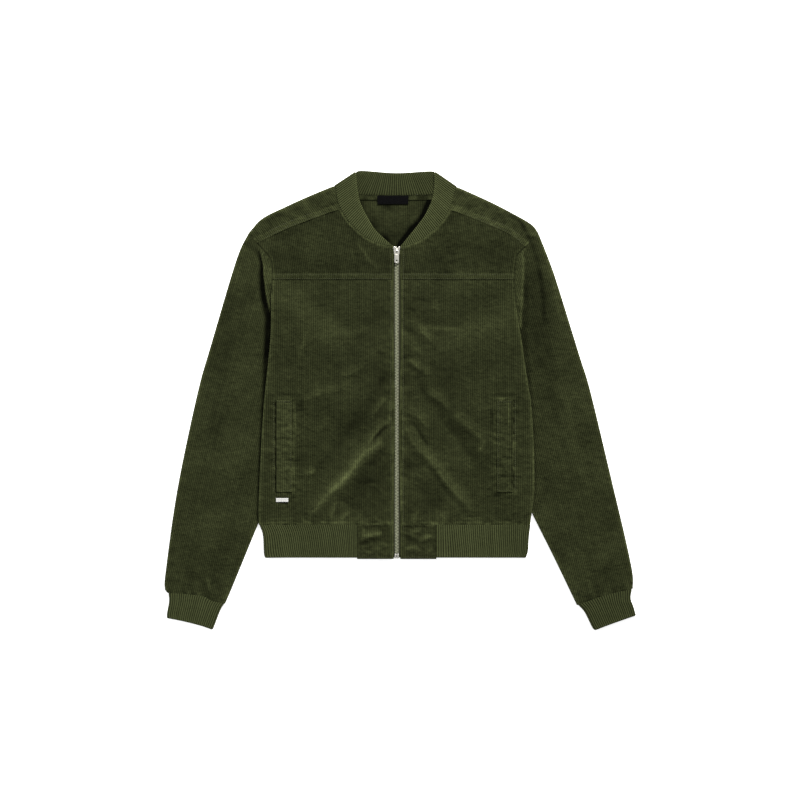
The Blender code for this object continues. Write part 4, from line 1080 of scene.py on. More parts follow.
def tube(name, cut, top, relief, material, slot, node, tone, slow=None):
    """A flattened tube: both faces have fine wales, and they meet at the rolled edges."""
    shell = Shell()
    for up in (True, False):
        outer = cut.skin(cut.fine())
        x, y = outer["plan"].T
        high = top(x, y)
        down, pile = depth(cut, outer, high / 2, relief(x, y) if up else 0.0)
        lit = rim_light(cut, outer)
        if up:
            lit = lit + painted_relief_light(top, relief, x, y) + tone(x, y)
        rim_out = shell.add(outer, high - down if up else down, pile, cut, up=up, tone=lit)
        inner = cut.skin(cut.coarse(), CLOTH * cut.rim_share("roll"))
        x, y = inner["plan"].T
        high = top(x, y)
        down = hollow(cut, inner, high / 2, 1.0)
        if up and slow:
            down = down - slow(x, y) * cut.held(inner, CLOTH)
        rim_in = shell.add(inner, high - down if up else down, 0.4, cut, up=not up)
        open_edge = [cut.kinds[k] != "roll" for k in cut.part]
        upper, lower = (rim_out, rim_in) if up else (rim_in, rim_out)
        shell.join(upper, lower, open_edge)
    return dressed(shell.make(name, material, welded=True), slot, node)


def puckers(along_seam, away, wave, size, reach):
    """Small gathers beside a sewn line, uneven in their length, depth and spacing."""
    still = 0 * away
    drawn = along_seam + 0.3 * away * drift(along_seam, still, 2.5 * wave, 3)
    reach = reach * (1.1 + 0.7 * drift(along_seam, still, 0.8 * wave, 2))
    return 1.5 * size * drift(drawn, 0.3 * away, 0.4 * wave, 1) * np.exp(-away / reach)


def from_welt(name, x, y):
    """Distance from a pocket welt, 0 on it."""
    low, high = sorted(SIDES[name]["welt"])
    sides = np.maximum(low - x, x - high)
    ends = np.maximum(WELT_Y[0] - y, y - WELT_Y[1])
    return np.hypot(np.maximum(sides, 0), np.maximum(ends, 0))


def padded(edge, between):
    """The doubled zip edge of a front: full up to its stitches, which sink in."""
    return smooth(1 - abs(edge - between / 2) / (between / 2 + 0.6)), 0.25 * bell(edge - between, 0.9)


def front_relief(name, x, y):
    """What sewing does to a front: the padded zip edge, gathers at the hem and round the welt."""
    side = SIDES[name]
    edge, between = abs(x - side["zip"]), abs(side["stitches"] - side["zip"])
    full, sunk = padded(edge, between)
    height = 0.35 * full - sunk
    height += puckers(y, abs(edge - between), 12.0, 0.42, 9.0)
    above_hem = np.maximum(y - HEM_Y, 0)
    height += puckers(x, above_hem, 14.0, 0.7, 10.0)
    height += 0.2 * bell(above_hem - 3.0 - 1.2 * drift(x, 0 * y, 9.0, 2), 2.0)
    away = from_welt(name, x, y)
    height += puckers(y, away, 10.5, 0.8, 7.0) * (away > 0)
    height -= 0.3 * bell(away, 2.2) * (away > 0)
    height += fold_height(WELT_FOLDS, x, y) * (away > 0)
    crushed = 0.25 + 0.75 * np.exp(-np.minimum(np.minimum(away, above_hem), abs(edge - between)) / 12.0)
    return height + 0.55 * crushed * crumple(x, y) + unevenness(x, y)


def level(x, y):
    return 0 * x


def chest_band(y):
    """The raised, topstitched seam allowance above the chest seam, and the channels of its two stitch rows."""
    raised = 0.55 * smooth((y - CHEST_Y) / 1.2) * (1 - smooth((y - 195.4) / 1.4))
    first, second = CHEST_STITCHES
    return raised - 0.3 * bell(y - first, 0.8) - 0.3 * bell(y - second, 0.8)


def side_radius(x, y):
    """Half the room between the body's two faces where its side is rolled."""
    return curl_of_both(x, y) * ((front_top(x, y) - lift(x, y)) / 2 - NEAR)


def body_side(name, low, high):
    """The body's side up to a height on the armhole: rolled below, cut above, as edges of a Cut."""
    side, lines = SIDES[name], LINES[name]
    end = side["end_y"]
    armhole = part_of(lines["armhole"], end, high)
    armhole[:, 0] -= side["sign"] * NEAR
    split = np.searchsorted(armhole[:, 1], end + 30)
    rolled_side = np.vstack([part_of(lines["side"], low, end)[:-1], armhole[:split]])
    return [("roll", rolled_side), ("cut", armhole[split - 1:])]


def front_lower(name, material):
    low, high = HEM_Y + NEAR, CHEST_Y - NEAR
    edge_x = SIDES[name]["zip"]
    edges = body_side(name, low, high)
    hem_corner = np.array([x_at(LINES[name]["side"], low), low])
    cut = Cut(edges + [("cut", [edges[-1][1][-1], (edge_x, high)]), ("fold", [(edge_x, high), (edge_x, low)]),
                       ("cut", [(edge_x, low), hem_corner])],
              grain=lambda y: 0.9 * np.sin(y / 55.0 + edge_x),
              row=3.0, extra_rows=(low + 1.0, low + 2.0, low + 4.2, low + 6.2, high - 1.0, high - 2.0))
    piece = single(f"{name}_front", cut, front_top, side_radius, curl_of_both, partial(front_relief, name),
                   material, "corduroy", f"front_lower_{name}", tone=partial(front_tone, name))
    return piece, cut


def front_tone(name, x, y):
    """Painted light and shade: lighter on folds, edges and the ridges above the hem, darker in hollows and in
    the welt's slit.
    """
    from_zip = abs(x - SIDES[name]["zip"])
    # painted highlight along the zip's padded edge and its stitch line
    edge = 0.35 * bell(from_zip, 2.6) + 0.8 * bell(from_zip - 3.4, 1.0) * (0.8 + 0.6 * drift(x, y, 7.0, 1))
    above = y - HEM_Y
    # painted highlights on the ridges above the hem seam and along it
    seam = bell(above - 2.4 - 1.4 * drift(x, 0 * y, 9.0, 2), 1.4) * (0.9 + 0.8 * drift(x, y, 6.0, 0))
    seam += 0.5 * bell(above, 1.4)
    second = 0.5 * bell(above - 9.0 - drift(x, 0 * y, 14.0, 3), 1.3)
    seam += second * smooth(drift(x, 0 * y, 30.0, 1) + 0.6)
    away = from_welt(name, x, y)
    # a lighter frayed band round the welt
    fray_and_painted_light = 0.3 * bell(away - 2.6, 1.6) * (0.8 + 0.9 * drift(x, y, 3.6, 1))
    beside = (WELT_Y[0] < y) & (y < WELT_Y[1])
    mouth_x, dark = WELT_MOUTH[name]
    # painted shadow in the welt's slit
    fray_and_painted_light -= dark * bell(x - mouth_x, 1.5) * beside
    if name == "left":
        fray_and_painted_light += 0.3 * bell(x + 165.5, 3.0) * beside
    ticks = drift(0.35 * x, y, 1.7, 0) * np.exp(-away / 9.0) * (away > 0)
    # random ticks, and the welt creases' painted light and shade
    fray_and_painted_light += 0.3 * ticks + painted_fold_light(WELT_FOLDS, x, y) * (away > 0)
    # lighter towards the bottom, random mottle, and painted highlights on crinkle crests
    mottle_and_crest_light = 0.10 * smooth((-40 - y) / 40) + 0.08 * drift(x, y, 9.0, 2) + 0.3 * np.maximum(crumple(x, y, 8.0), 0)
    return painted_fold_light(FRONT_FOLDS, x, y) + edge + 1.1 * seam + fray_and_painted_light + mottle_and_crest_light + arm_tone(name, x, y)


def arm_tone(name, x, y):
    """The armhole's seam: painted shade as a dark line in it, and a painted highlight as a lighter one beside
    it.
    """
    gap = gap_to(LINES[name]["armhole"], x, y)
    sewn = smooth((y - SIDES[name]["end_y"] - 8) / 14)
    return sewn * (0.35 * bell(gap - 3.2, 1.4) - 0.45 * bell(gap, 1.3))


def neck_part(name, share_from, share_to, count, out):
    """Points on the neck seam, moved out from the collar."""
    line = LINES[name]["neck_seam"]
    shares = np.linspace(share_from, share_to, count)
    here, ahead, behind = along(line, shares), along(line, shares + 0.01), along(line, shares - 0.01)
    way = ahead - behind
    way /= np.hypot(*way.T)[:, None]
    return here + SIDES[name]["sign"] * out * stack(way[:, 1], -way[:, 0])


def strip_share(name):
    """Where the shoulder strip's lower seam meets the neck seam."""
    line = LINES[name]["neck_seam"]
    run = run_of(line)
    return np.interp(SIDES[name]["strip_seam"][0][1], line[:, 1], run) / run[-1]


def strip_edges(name):
    """Edges that the shoulder strip shares with its neighbours: its seam, its armhole end and its neck end."""
    side, lines = SIDES[name], LINES[name]
    neck = neck_part(name, strip_share(name), 0.985, 12, -0.8)
    seam = np.vstack([neck[:1], lines["strip_seam"][2:]])
    armhole = part_of(lines["armhole"], side["strip_seam"][-1][1], side["armhole"][0][1])
    shoulder = lines["shoulder"].copy()
    seam_end, edge_end = lines["neck_seam"][-1], lines["neck_edge"][-1]
    way = (edge_end - seam_end) / np.hypot(*(edge_end - seam_end))
    shoulder[0] = seam_end + way - side["sign"] * 2.3 * np.array((-way[1], way[0]))
    return seam, armhole, shoulder, np.vstack([neck, shoulder[:1]])


def front_upper(name, material):
    side, lines = SIDES[name], LINES[name]
    sign, edge_x = side["sign"], side["zip"]
    low = CHEST_Y + NEAR
    armhole = part_of(lines["armhole"], low, side["strip_seam"][-1][1])
    armhole[:, 0] -= sign * NEAR
    neck = neck_part(name, 0.004, strip_share(name), 40, -0.8)
    neck[0] = (edge_x, neck[0][1])
    seam = strip_edges(name)[0][::-1] - (0, 2 * NEAR)
    seam[-1] = neck[-1]
    seam[0] = armhole[-1]
    cut = Cut([("cut", armhole), ("cut", seam), ("neck", neck[::-1]),
               ("fold", [neck[0], (edge_x, low)]), ("cut", [(edge_x, low), armhole[0]])],
              grain=lambda y: sign * 0.105 * (y - low) + 0.5 * np.sin(y / 31.0 + edge_x),
              row=3.0, extra_rows=CHEST_ROWS)

    def relief(x, y):
        edge, between = abs(x - edge_x), abs(side["stitches"] - edge_x)
        full, sunk = padded(edge, between)
        height = chest_band(y) - sunk
        height += 0.3 * full * (y > 197)
        neck_gap = gap_to(neck, x, y)
        height += 0.7 * smooth((neck_gap + 0.6) / 2.4) * (1 - smooth((neck_gap - 4.2) / 1.6)) * (y < 300)
        height += puckers(x, abs(y - 196), 11.0, 0.2, 7.0) + puckers(y, abs(edge - between), 12.0, 0.3, 8.0)
        height += puckers(x, gap_to(seam, x, y), 12.0, 0.25, 8.0)
        return height + 0.25 * crumple(x, y) + unevenness(x, y)

    def tone(x, y):
        # painted light on the zip edge, the chest band and the ridge by the neck, painted shade in the stitch
        # channels and by the strip's seam; a little darker all over, with mottle and lit crinkle crests
        lit = 0.9 * bell(abs(x - edge_x), 2.2) - 0.14 + arm_tone(name, x, y)
        lit += 0.08 * drift(x, y, 9.0, 2) + 0.3 * np.maximum(crumple(x, y, 8.0), 0)
        lit += 0.1 * smooth((y - CHEST_Y) / 1.5) * (1 - smooth((y - 195.4) / 1.5))
        lit -= 0.25 * bell(y - 197.2, 1.0) + 0.2 * bell(y - 186.6, 0.9)
        lit += painted_fold_light(FRONT_FOLDS, x, y) - 0.3 * bell(gap_to(seam, x, y), 1.6)
        return lit + 0.8 * bell(gap_to(neck, x, y) - 3.0, 2.0)

    piece = single(f"{name}_chest", cut, front_top, level, level, relief, material, "corduroy",
                   f"front_upper_{name}", tone=tone)
    return piece, cut


def shoulder_strip(name, material):
    sign = SIDES[name]["sign"]
    seam, armhole, shoulder, neck = strip_edges(name)
    armhole = armhole + (-sign * NEAR, 0)
    seam, shoulder = seam.copy(), shoulder.copy()
    seam[-1], shoulder[-1] = armhole[0], armhole[-1]
    cut = Cut([("cut", seam), ("cut", armhole), ("roll", shoulder[::-1]), ("neck", neck[::-1])],
              grain=lambda y: sign * STRIP_LEAN * (y - 250),
              pitch=WALE / math.cos(math.atan(STRIP_LEAN)), row=2.5)

    def relief(x, y):
        gap = gap_to(seam, x, y)
        channels = -0.3 * bell(gap - 1.9, 0.7) - 0.3 * bell(gap - 8.2, 0.8)
        gathers = puckers(x, abs(gap - 8.2), 9.0, 0.2, 5.0) + 0.3 * crumple(x, y)
        return 0.45 * (1 - smooth((gap - 8.4) / 1.5)) + channels + gathers

    piece = tube(f"{name}_shoulder_strip", cut, front_top, relief, material, "corduroy", f"shoulder_{name}",
                 tone=partial(strip_tone, seam))
    return piece, cut


def sleeve_relief(name, x, y):
    lines = LINES[name]
    seam_gap = gap_to(lines["cuff_seam"], x, y)
    out, strip = beyond_body(name, x, y)
    height = puckers(x, seam_gap, 13.0, 0.5, 13.0) + 0.35 * crumple(x, y, 14.0)
    return (height + sleeve_waves(x, y)) * smooth((out - strip) / 20)


def sleeve_waves(x, y):
    return 1.2 * unevenness(x * 1.15 + 90, y * 0.8)


def sleeve_tone(name, x, y):
    """Painted light and shade: on folds, on the raised strip, and the shadow where a sleeve dives under the
    body's edge.
    """
    out, strip = beyond_body(name, x, y)
    beyond = np.maximum(out - strip, 0)
    beside = smooth((y + 260) / 60)
    low = 1 - at_shoulder(name, y)
    wide = np.interp(-y, [-row[0] for row in GAP_SHADE], [row[1] for row in GAP_SHADE])
    # painted shadow beside the body's edge: how dark, and over how much it softens
    dark, soft = {"left": (0.97, 7.0), "right": (0.36, 6.0)}[name]
    shade = -dark * (1 - smooth((beyond - wide + 0.5 * soft) / soft)) * (out > strip - 0.5) * beside * low
    if name == "right":
        # a little painted shade over the right sleeve's inner part too
        low_end = 0.08 * (1 - smooth((out - 30) / 60)) * (out > strip) * low
        shade = shade * (1 - smooth((y - 180) / 25)) - low_end
    # painted highlight on the raised strip beside the armhole and on its fold edge
    raised = (0.3 * (out < strip) + 1.3 * bell(out - strip + 1.3, 1.1)) * (strip > 3) * low
    # random mottle with painted highlights on crinkle crests
    mottle_and_crest_light = 0.12 * drift(x, y, 11.0, 2) + 0.3 * np.maximum(crumple(x, y, 9.0), 0)
    seam = -0.45 * bell(out, 1.3) * (y > SIDES[name]["end_y"] + 10)
    forearm = 0.06 + 0.1 * (1 - smooth((y + 20) / 90))
    return painted_fold_light(SLEEVE_FOLDS, x, y) + shade + raised + mottle_and_crest_light + seam + forearm


def sleeve(name, material):
    side, lines = SIDES[name], LINES[name]
    sign, end = side["sign"], side["armhole_end"]
    armhole = lines["armhole"] - (sign * 0.5, 0)
    # the sleeve runs on under the body's edge, so that nothing shows between them from the side
    tucked = (end[0] - sign * 8, end[1] + 20)
    mouth = np.vstack([armhole[armhole[:, 1] > end[1] + 24], [tucked], [side["underarm"]]])
    inner, outer = lines["inner"].copy(), lines["outer"].copy()
    inner[0], outer[0] = mouth[-1], mouth[0]
    cuff_seam = lines["cuff_seam"] + (0, NEAR)
    inner[-1], outer[-1] = cuff_seam[-1], cuff_seam[0]
    grain = slope_table([(y, -sign * lean) for y, lean in SLEEVE_LEAN])
    cut = Cut([("cut", mouth), ("roll", inner), ("cut", cuff_seam[::-1]), ("roll", outer[::-1])],
              grain=grain, pitch=WALE / math.cos(math.radians(14)))

    def slow(x, y):
        return sleeve_waves(x, y) * smooth((beyond_body(name, x, y)[0] - 10) / 20)

    piece = tube(f"{name}_sleeve", cut, partial(sleeve_top, name), partial(sleeve_relief, name), material,
                 "corduroy", f"sleeve_{name}", tone=partial(sleeve_tone, name), slow=slow)
    return piece, cut


def back(material):
    """The whole back: fine wales on its underside, and inside it where the neck shows them."""
    sides = {}
    for name, side in SIDES.items():
        edges = body_side(name, HEM_Y + NEAR, side["strip_seam"][-1][1])
        seam, _, _, neck = strip_edges(name)
        seam = seam[::-1] + (0, -2 * NEAR)
        neck = neck[:-1] + np.array([-side["sign"] * 2 * NEAR, -2 * NEAR])
        seam[0] = edges[-1][1][-1]
        seam[-1] = neck[0]
        sides[name] = edges + [("cut", seam), ("cut", neck)]
    neck_line = NECK_LINE[1:-1] + (0, -2 * NEAR)
    first, last = (sides[name][-1][1][-1:] for name in SIDES)
    between = (neck_line[:, 0] > first[0, 0] + 0.8) & (neck_line[:, 0] < last[0, 0] - 0.8)
    edges = sides["left"] + [("cut", np.vstack([first, neck_line[between], last]))]
    edges += [(kind, line[::-1]) for kind, line in reversed(sides["right"])]
    edges.append(("cut", [edges[-1][1][-1], edges[0][1][0]]))
    cut = Cut(edges, grain=lambda y: 0.8 * np.sin(y / 60.0))

    shell = Shell()
    outer = cut.skin(cut.fine())
    x, y = outer["plan"].T
    down, pile = depth(cut, outer, side_radius(x, y))
    lower = shell.add(outer, lift(x, y) + down, pile, cut, up=False)
    x0, x1, y0, _ = NECK_WINDOW
    points, chains = cut.fine(NECK_WINDOW, rings=(0.5, 1.4))
    rough = cut.coarse()[0]
    clear = (rough[:, 0] < x0 - 2) | (rough[:, 0] > x1 + 2) | (rough[:, 1] < y0 - 2)
    inner = cut.skin((np.vstack([points, rough[clear]]), chains), rolled_inset(cut, curl_of_both))
    x, y = inner["plan"].T
    seen = smooth((x - x0) / 4) * smooth((x1 - x) / 4) * smooth((y - y0) / 4)
    pile = wale_height(inner["flat"][:, 0] / cut.pitch)
    wales = 0.3 * (1 - pile) * seen
    height = lift(x, y) + hollow(cut, inner, side_radius(x, y), curl_of_both(x, y)) - wales
    height += 0.8 * seen * (unevenness(x, y) + 0.3)
    # the inside of the back: painted shade, a little darker all over, with random mottle
    tone = -0.22 + 0.3 * drift(x, y, 16.0, 0) + 0.25 * crumple(x, y, 12.0)
    # the collar's shade: deep on the right, faint on the left and towards the chest
    tone -= 0.93 * (1 - smooth((gap_to(LINES["right"]["neck_edge"], x, y) - 3.5) / 7))
    tone -= 0.25 * bell(gap_to(LINES["left"]["neck_edge"], x, y), 7.0)
    tone -= 0.15 * smooth((280 - y) / 40)
    upper = shell.add(inner, height, pile * seen + 0.4 * (1 - seen), cut, tone=tone)
    shell.join(upper, lower)
    return dressed(shell.make("back_panel", material), "corduroy", "back"), cut


def laid_strip(name, outline, height, thick, material, slot, node, relief, tone):
    """A small doubled piece with rounded edges all round."""
    cut = Cut([("roll", np.vstack([outline, outline[:1]]))], row=2.5)
    shell = Shell()
    outer = cut.skin(cut.fine())
    x, y = outer["plan"].T
    radius = thick / 2
    down, pile = depth(cut, outer, radius, relief(x, y))
    lit = painted_relief_light(height, relief, x, y) + tone(x, y)
    shell.add(outer, height(x, y) + thick - down, pile, cut, tone=lit)
    inner = cut.skin(cut.coarse(6.0))
    x, y = inner["plan"].T
    shell.add(inner, height(x, y) + rolled(cut.roll_gap(inner), radius), 0.5, cut, up=False)
    return dressed(shell.make(name, material, welded=True), slot, node)


def rounded_box(x0, x1, y0, y1, corner=1.2):
    """A rectangle with rounded corners, anticlockwise."""
    turns = np.radians([0, 30, 60, 90])
    points = []
    for cx, cy, start in ((x1 - corner, y1 - corner, 0), (x0 + corner, y1 - corner, 90),
                          (x0 + corner, y0 + corner, 180), (x1 - corner, y0 + corner, 270)):
        for turn in turns + math.radians(start):
            points.append((cx + corner * math.cos(turn), cy + corner * math.sin(turn)))
    return np.array(points)


def welt(name, material):
    side = SIDES[name]
    x0, x1 = sorted(side["welt"])
    mouth = x0 if name == "left" else x1
    light, dark = {"left": (0.55, 0.9), "right": (0.2, 0.6)}[name]

    def height(x, y):
        return front_top(x, y) + unevenness(x, y) - 0.2

    def relief(x, y):
        inner = abs(abs(x - mouth) - abs(x1 - x0) + WELT_SEWN[0])
        ends = np.minimum(abs(y - WELT_Y[0] - WELT_SEWN[1]), abs(y - WELT_Y[1] + WELT_SEWN[1]))
        rise = 0.1 - 0.25 * bell(inner, 0.8) - 0.25 * bell(ends, 0.8)
        rise += puckers(y, inner, 10.5, 0.4, 7.0) + puckers(y + 4, abs(x - mouth), 13.0, 0.3, 6.0)
        return rise + 0.45 * crumple(x, y, 8.0) + fold_height(WELT_FOLDS, x, y)

    def tone(x, y):
        rim = np.minimum(np.minimum(x - x0, x1 - x), np.minimum(y - WELT_Y[0], WELT_Y[1] - y))
        # the rim lighter: partly frayed cloth, partly a painted highlight on its rounded edge
        fray_and_painted_light = 0.5 * np.exp(-rim / 1.3) * (0.8 + 0.8 * drift(x, y, 4.0, 2))
        base = light + 0.25 * drift(x, y, 5.0, 1) + 0.2 * drift(0.35 * x, y, 1.7, 0)
        # painted shadow in the slit, and the creases' painted light and shade
        return base + fray_and_painted_light - dark * bell(x - mouth, 1.5) + painted_fold_light(WELT_FOLDS, x, y)

    return laid_strip(f"{name}_pocket_welt", rounded_box(x0, x1, *WELT_Y), height, 1.3, material, "corduroy",
                      f"welt_{name}", relief, tone)


def hem_block(name, material):
    side = SIDES[name]
    x0, x1 = sorted((side["hem_block"] - side["sign"] * 2 * NEAR, side["zip"]))
    outline = rounded_box(x0, x1, BLOCK_FOOT_Y, HEM_Y - 2 * NEAR, 0.8)

    def relief(x, y):
        edge = abs(x - side["zip"])
        height = 0.3 * smooth(1 - abs(edge - 4.6) / 5.2) - 0.25 * bell(edge - 9.6, 0.9)
        height += 0.5 * unevenness(x * 1.7 + 31, y * 1.7) + puckers(x, HEM_Y - y, 12.0, 0.5, 9.0)
        height += crumple(x, y, 13.0)
        height += np.maximum(fold_height(BLOCK_FOLDS, x, y), -0.8)
        return height - 0.25 * bell(y - BLOCK_FOOT_Y - 3.0, 0.8)

    def tone(x, y):
        # painted highlights along the zip edge, on the folds, on crinkle crests and along the rounded foot;
        # painted shade in the folds' troughs
        return (0.8 * bell(x - side["zip"], 3.2) + 0.05 + painted_fold_light(BLOCK_FOLDS, x, y)
                + 0.5 * np.maximum(crumple(x, y, 8.0), 0) + 0.4 * bell(y - BLOCK_FOOT_Y, 2.0))

    return laid_strip(f"{name}_hem_block", outline, lambda x, y: 0 * x + 3.9, 2.5, material, "corduroy",
                      f"hem_block_{name}", relief, tone)


# ---- Ribs ----

def rib_band(name, places, facing, across, rises, rows, width, material, node, shade, ring=False):
    """A ribbed wall between two faces.

    places(v) gives the wall's middle for every station at a share v from the seam to the free edge, rises the
    crests' height on the two faces above RIB / 2, shade the tone of each station.
    """
    pile = wale_height(across, RIB_FORM)
    grids = []
    run = np.array(rows) * width
    from_edge = (1 - np.array(rows)) * width
    full = rounding(from_edge, RIB / 2, 0.0004)
    sunk = 0.2 * bell(run, 1.6)
    for face, way in enumerate((1, -1)):
        crest = RIB / 2 + rises[face]
        grid = []
        for v, share, seam in zip(rows, full, sunk):
            thick = (crest - RIB_RISE * (1 - pile) - seam) * share
            grid.append(places(v) + way * facing * thick[:, None])
        grids.append(np.array(grid))
    m, n = len(rows), len(across)
    verts = np.vstack([grid.reshape(-1, 3) for grid in grids])
    cloth = np.vstack([np.column_stack([np.tile(across, m), np.repeat(run, n), np.tile(pile, m)])] * 2)
    # painted highlight along the rounded free edge, a little painted shade by the seam, then each station's
    # shade
    tone = np.repeat(0.25 * np.exp(-from_edge / 3.0) - 0.05 * np.exp(-run / 2.0), n) + np.tile(shade, m)
    tone = np.tile(tone, 2)
    faces = []

    def at(face, i, j):
        return (face * m + i) * n + j % n

    steps = n if ring else n - 1
    for i in range(m - 1):
        for j in range(steps):
            faces.append((at(0, i, j), at(0, i + 1, j), at(0, i + 1, j + 1), at(0, i, j + 1)))
            faces.append((at(1, i, j), at(1, i, j + 1), at(1, i + 1, j + 1), at(1, i + 1, j)))
    for j in range(steps):
        faces.append((at(0, 0, j), at(0, 0, j + 1), at(1, 0, j + 1), at(1, 0, j)))
        faces.append((at(0, m - 1, j), at(1, m - 1, j), at(1, m - 1, j + 1), at(0, m - 1, j + 1)))
    if not ring:
        for i in range(m - 1):
            faces.append((at(0, i, 0), at(1, i, 0), at(1, i + 1, 0), at(0, i + 1, 0)))
            faces.append((at(0, i, n - 1), at(0, i + 1, n - 1), at(1, i + 1, n - 1), at(1, i, n - 1)))
    piece = small_part(name, verts, faces, cloth, material, "rib_knit", node, tone=tone)
    points = np.empty(len(verts) * 3, np.float32)
    piece.data.vertices.foreach_get("co", points)
    points[2::3] = np.maximum(points[2::3], 0.0)     # nothing lies under the floor
    piece.data.vertices.foreach_set("co", points)
    return piece


def band_rows(width, step=4.0):
    """Shares from the seam to the free edge, closer at both ends."""
    inner = np.arange(3.0, width - 4.0, step)
    return np.concatenate([[0.0, 0.8, 1.8], inner, width - np.array([3.0, 1.3, 0.6, 0.2, 0.0])]) / width


SAMPLES = 6            # stations to a rib
RIB_LEAN = 5.5         # how far the hem's ribs lean over its height


def collar(material):
    low, high = RIB / 2, RIB / 2 + COLLAR_STACK
    turn_radius = (high - low) / 2
    parts = []     # seam points, edge points, height, facing x, y, z

    def flat_run(seam, edge, height, up, backwards=False):
        ribs = round((run_of(seam)[-1] + run_of(edge)[-1]) / 2 / RIB_PITCH)
        shares = np.arange(ribs * SAMPLES + 1) / (ribs * SAMPLES)
        if backwards:
            shares = shares[::-1]
        a, b = along(seam, shares), along(edge, shares)
        n = len(shares)
        parts.append((a, b, np.full(n, height), np.tile((0.0, 0.0, up), (n, 1)), np.ones(n)))

    def turn(seam_end, edge_end, start, end):
        way = (edge_end - seam_end) / np.hypot(*(edge_end - seam_end))
        out = np.array((-way[1], way[0]))
        out = -out if out[1] < 0 else out
        turns = np.radians(np.linspace(start, end, 3 * SAMPLES + 1)[1:-1])
        c, s = np.cos(turns)[:, None], np.sin(turns)
        parts.append((seam_end + out * turn_radius * c, edge_end + out * turn_radius * c,
                      (low + high) / 2 + turn_radius * s, np.column_stack([out * c, s]), np.zeros(len(turns))))

    left, right = LINES["left"], LINES["right"]
    flat_run(left["neck_seam"], left["neck_edge"], high, 1.0)
    turn(left["neck_seam"][-1], left["neck_edge"][-1], 90, -90)
    flat_run(NECK_LINE, smooth_line(BACK_COLLAR_TOP), low, -1.0)
    turn(right["neck_seam"][-1], right["neck_edge"][-1], -90, 90)
    flat_run(right["neck_seam"], right["neck_edge"], high, 1.0, backwards=True)
    seam, edge, height, facing, flat = (np.concatenate([part[k] for part in parts]) for k in range(5))
    across = np.arange(len(seam)) / SAMPLES
    wide = np.hypot(*(edge - seam).T)
    dome = flat * np.where(height > 3, 0.45, 0.0)

    def places(v):
        plan = mix(seam, edge, v)
        bulge = dome * np.sin(np.pi * v) ** 0.7 * np.minimum(wide / 30, 1)
        return np.column_stack([plan, height + bulge])

    # upper faces carry the solid's ribs, the underside lies on the floor
    # the low back of the collar is painted in shade
    piece = rib_band("neck_rib", places, facing, across, (0.3, 0.3), band_rows(34.0), 34.0, material,
                     "rib_collar", np.where(height > high - 0.1, -0.04, -0.34))


def hem_rib(material):
    low, high = RIB / 2, RIB / 2 + HEM_STACK
    turn_radius = (high - low) / 2
    reach = turn_radius + RIB / 2
    xs, heights, facings = [], [], []

    def run(a, b, height, up):
        ribs = max(round(abs(b - a) / (1.03 * RIB_PITCH)), 1)
        points = np.linspace(a, b, ribs * SAMPLES + 1)
        xs.append(points)
        heights.append(np.full(len(points), height))
        facings.append(np.tile((0.0, 0.0, up), (len(points), 1)))

    def turn(x, sign, turns):
        turns = np.radians(turns[1:-1])
        xs.append(x + sign * turn_radius * np.cos(turns))
        heights.append((low + high) / 2 + turn_radius * np.sin(turns))
        facings.append(np.column_stack([sign * np.cos(turns), 0 * turns, np.sin(turns)]))

    down = np.linspace(90, -90, 3 * SAMPLES + 1)
    left_end = LINES["left"]["hem_edge"][0][0] + reach
    right_end = LINES["right"]["hem_edge"][0][0] - reach
    run(SIDES["left"]["hem_block"], left_end, high, 1.0)
    turn(left_end, -1, down)
    run(left_end, right_end, low, -1.0)
    turn(right_end, 1, down[::-1])
    run(right_end, SIDES["right"]["hem_block"], high, 1.0)
    x, height, facing = np.concatenate(xs), np.concatenate(heights), np.concatenate(facings)

    def places(v):
        y = mix(HEM_Y - 2 * NEAR, HEM_FOOT_Y, v)
        flat_x = x.copy()
        for name, side in SIDES.items():
            line = LINES[name]["hem_edge"]
            start = side["hem_block"]
            here = (x < ZIP_X) == (name == "left")
            beyond = here & (abs(x - ZIP_X) > abs(start - ZIP_X))
            scaled = start + (x - start) * (x_at(line, y) - start) / (line[0][0] - start)
            flat_x = np.where(beyond, scaled, flat_x)
        from_end = np.minimum.reduce([abs(x - xs[0][0]), abs(x - xs[-1][-1]),
                                      x - left_end + 6, right_end + 6 - x])
        flat_x = flat_x + RIB_LEAN * v * smooth(from_end / 30) * (height > 3)
        wave = 0.4 * np.sin(flat_x / 19.0) * v * (height > 3)
        return np.column_stack([flat_x, np.full(len(x), y), height + lift(flat_x, np.full(len(x), y)) + wave])

    across = np.arange(len(x)) / SAMPLES
    piece = rib_band("hem_band", places, facing, across, (0.3, 0.0), band_rows(51.0, 5.0), 51.0, material,
                     "rib_hem", -0.06 + 0.06 * drift(x, 0 * x, 30.0))


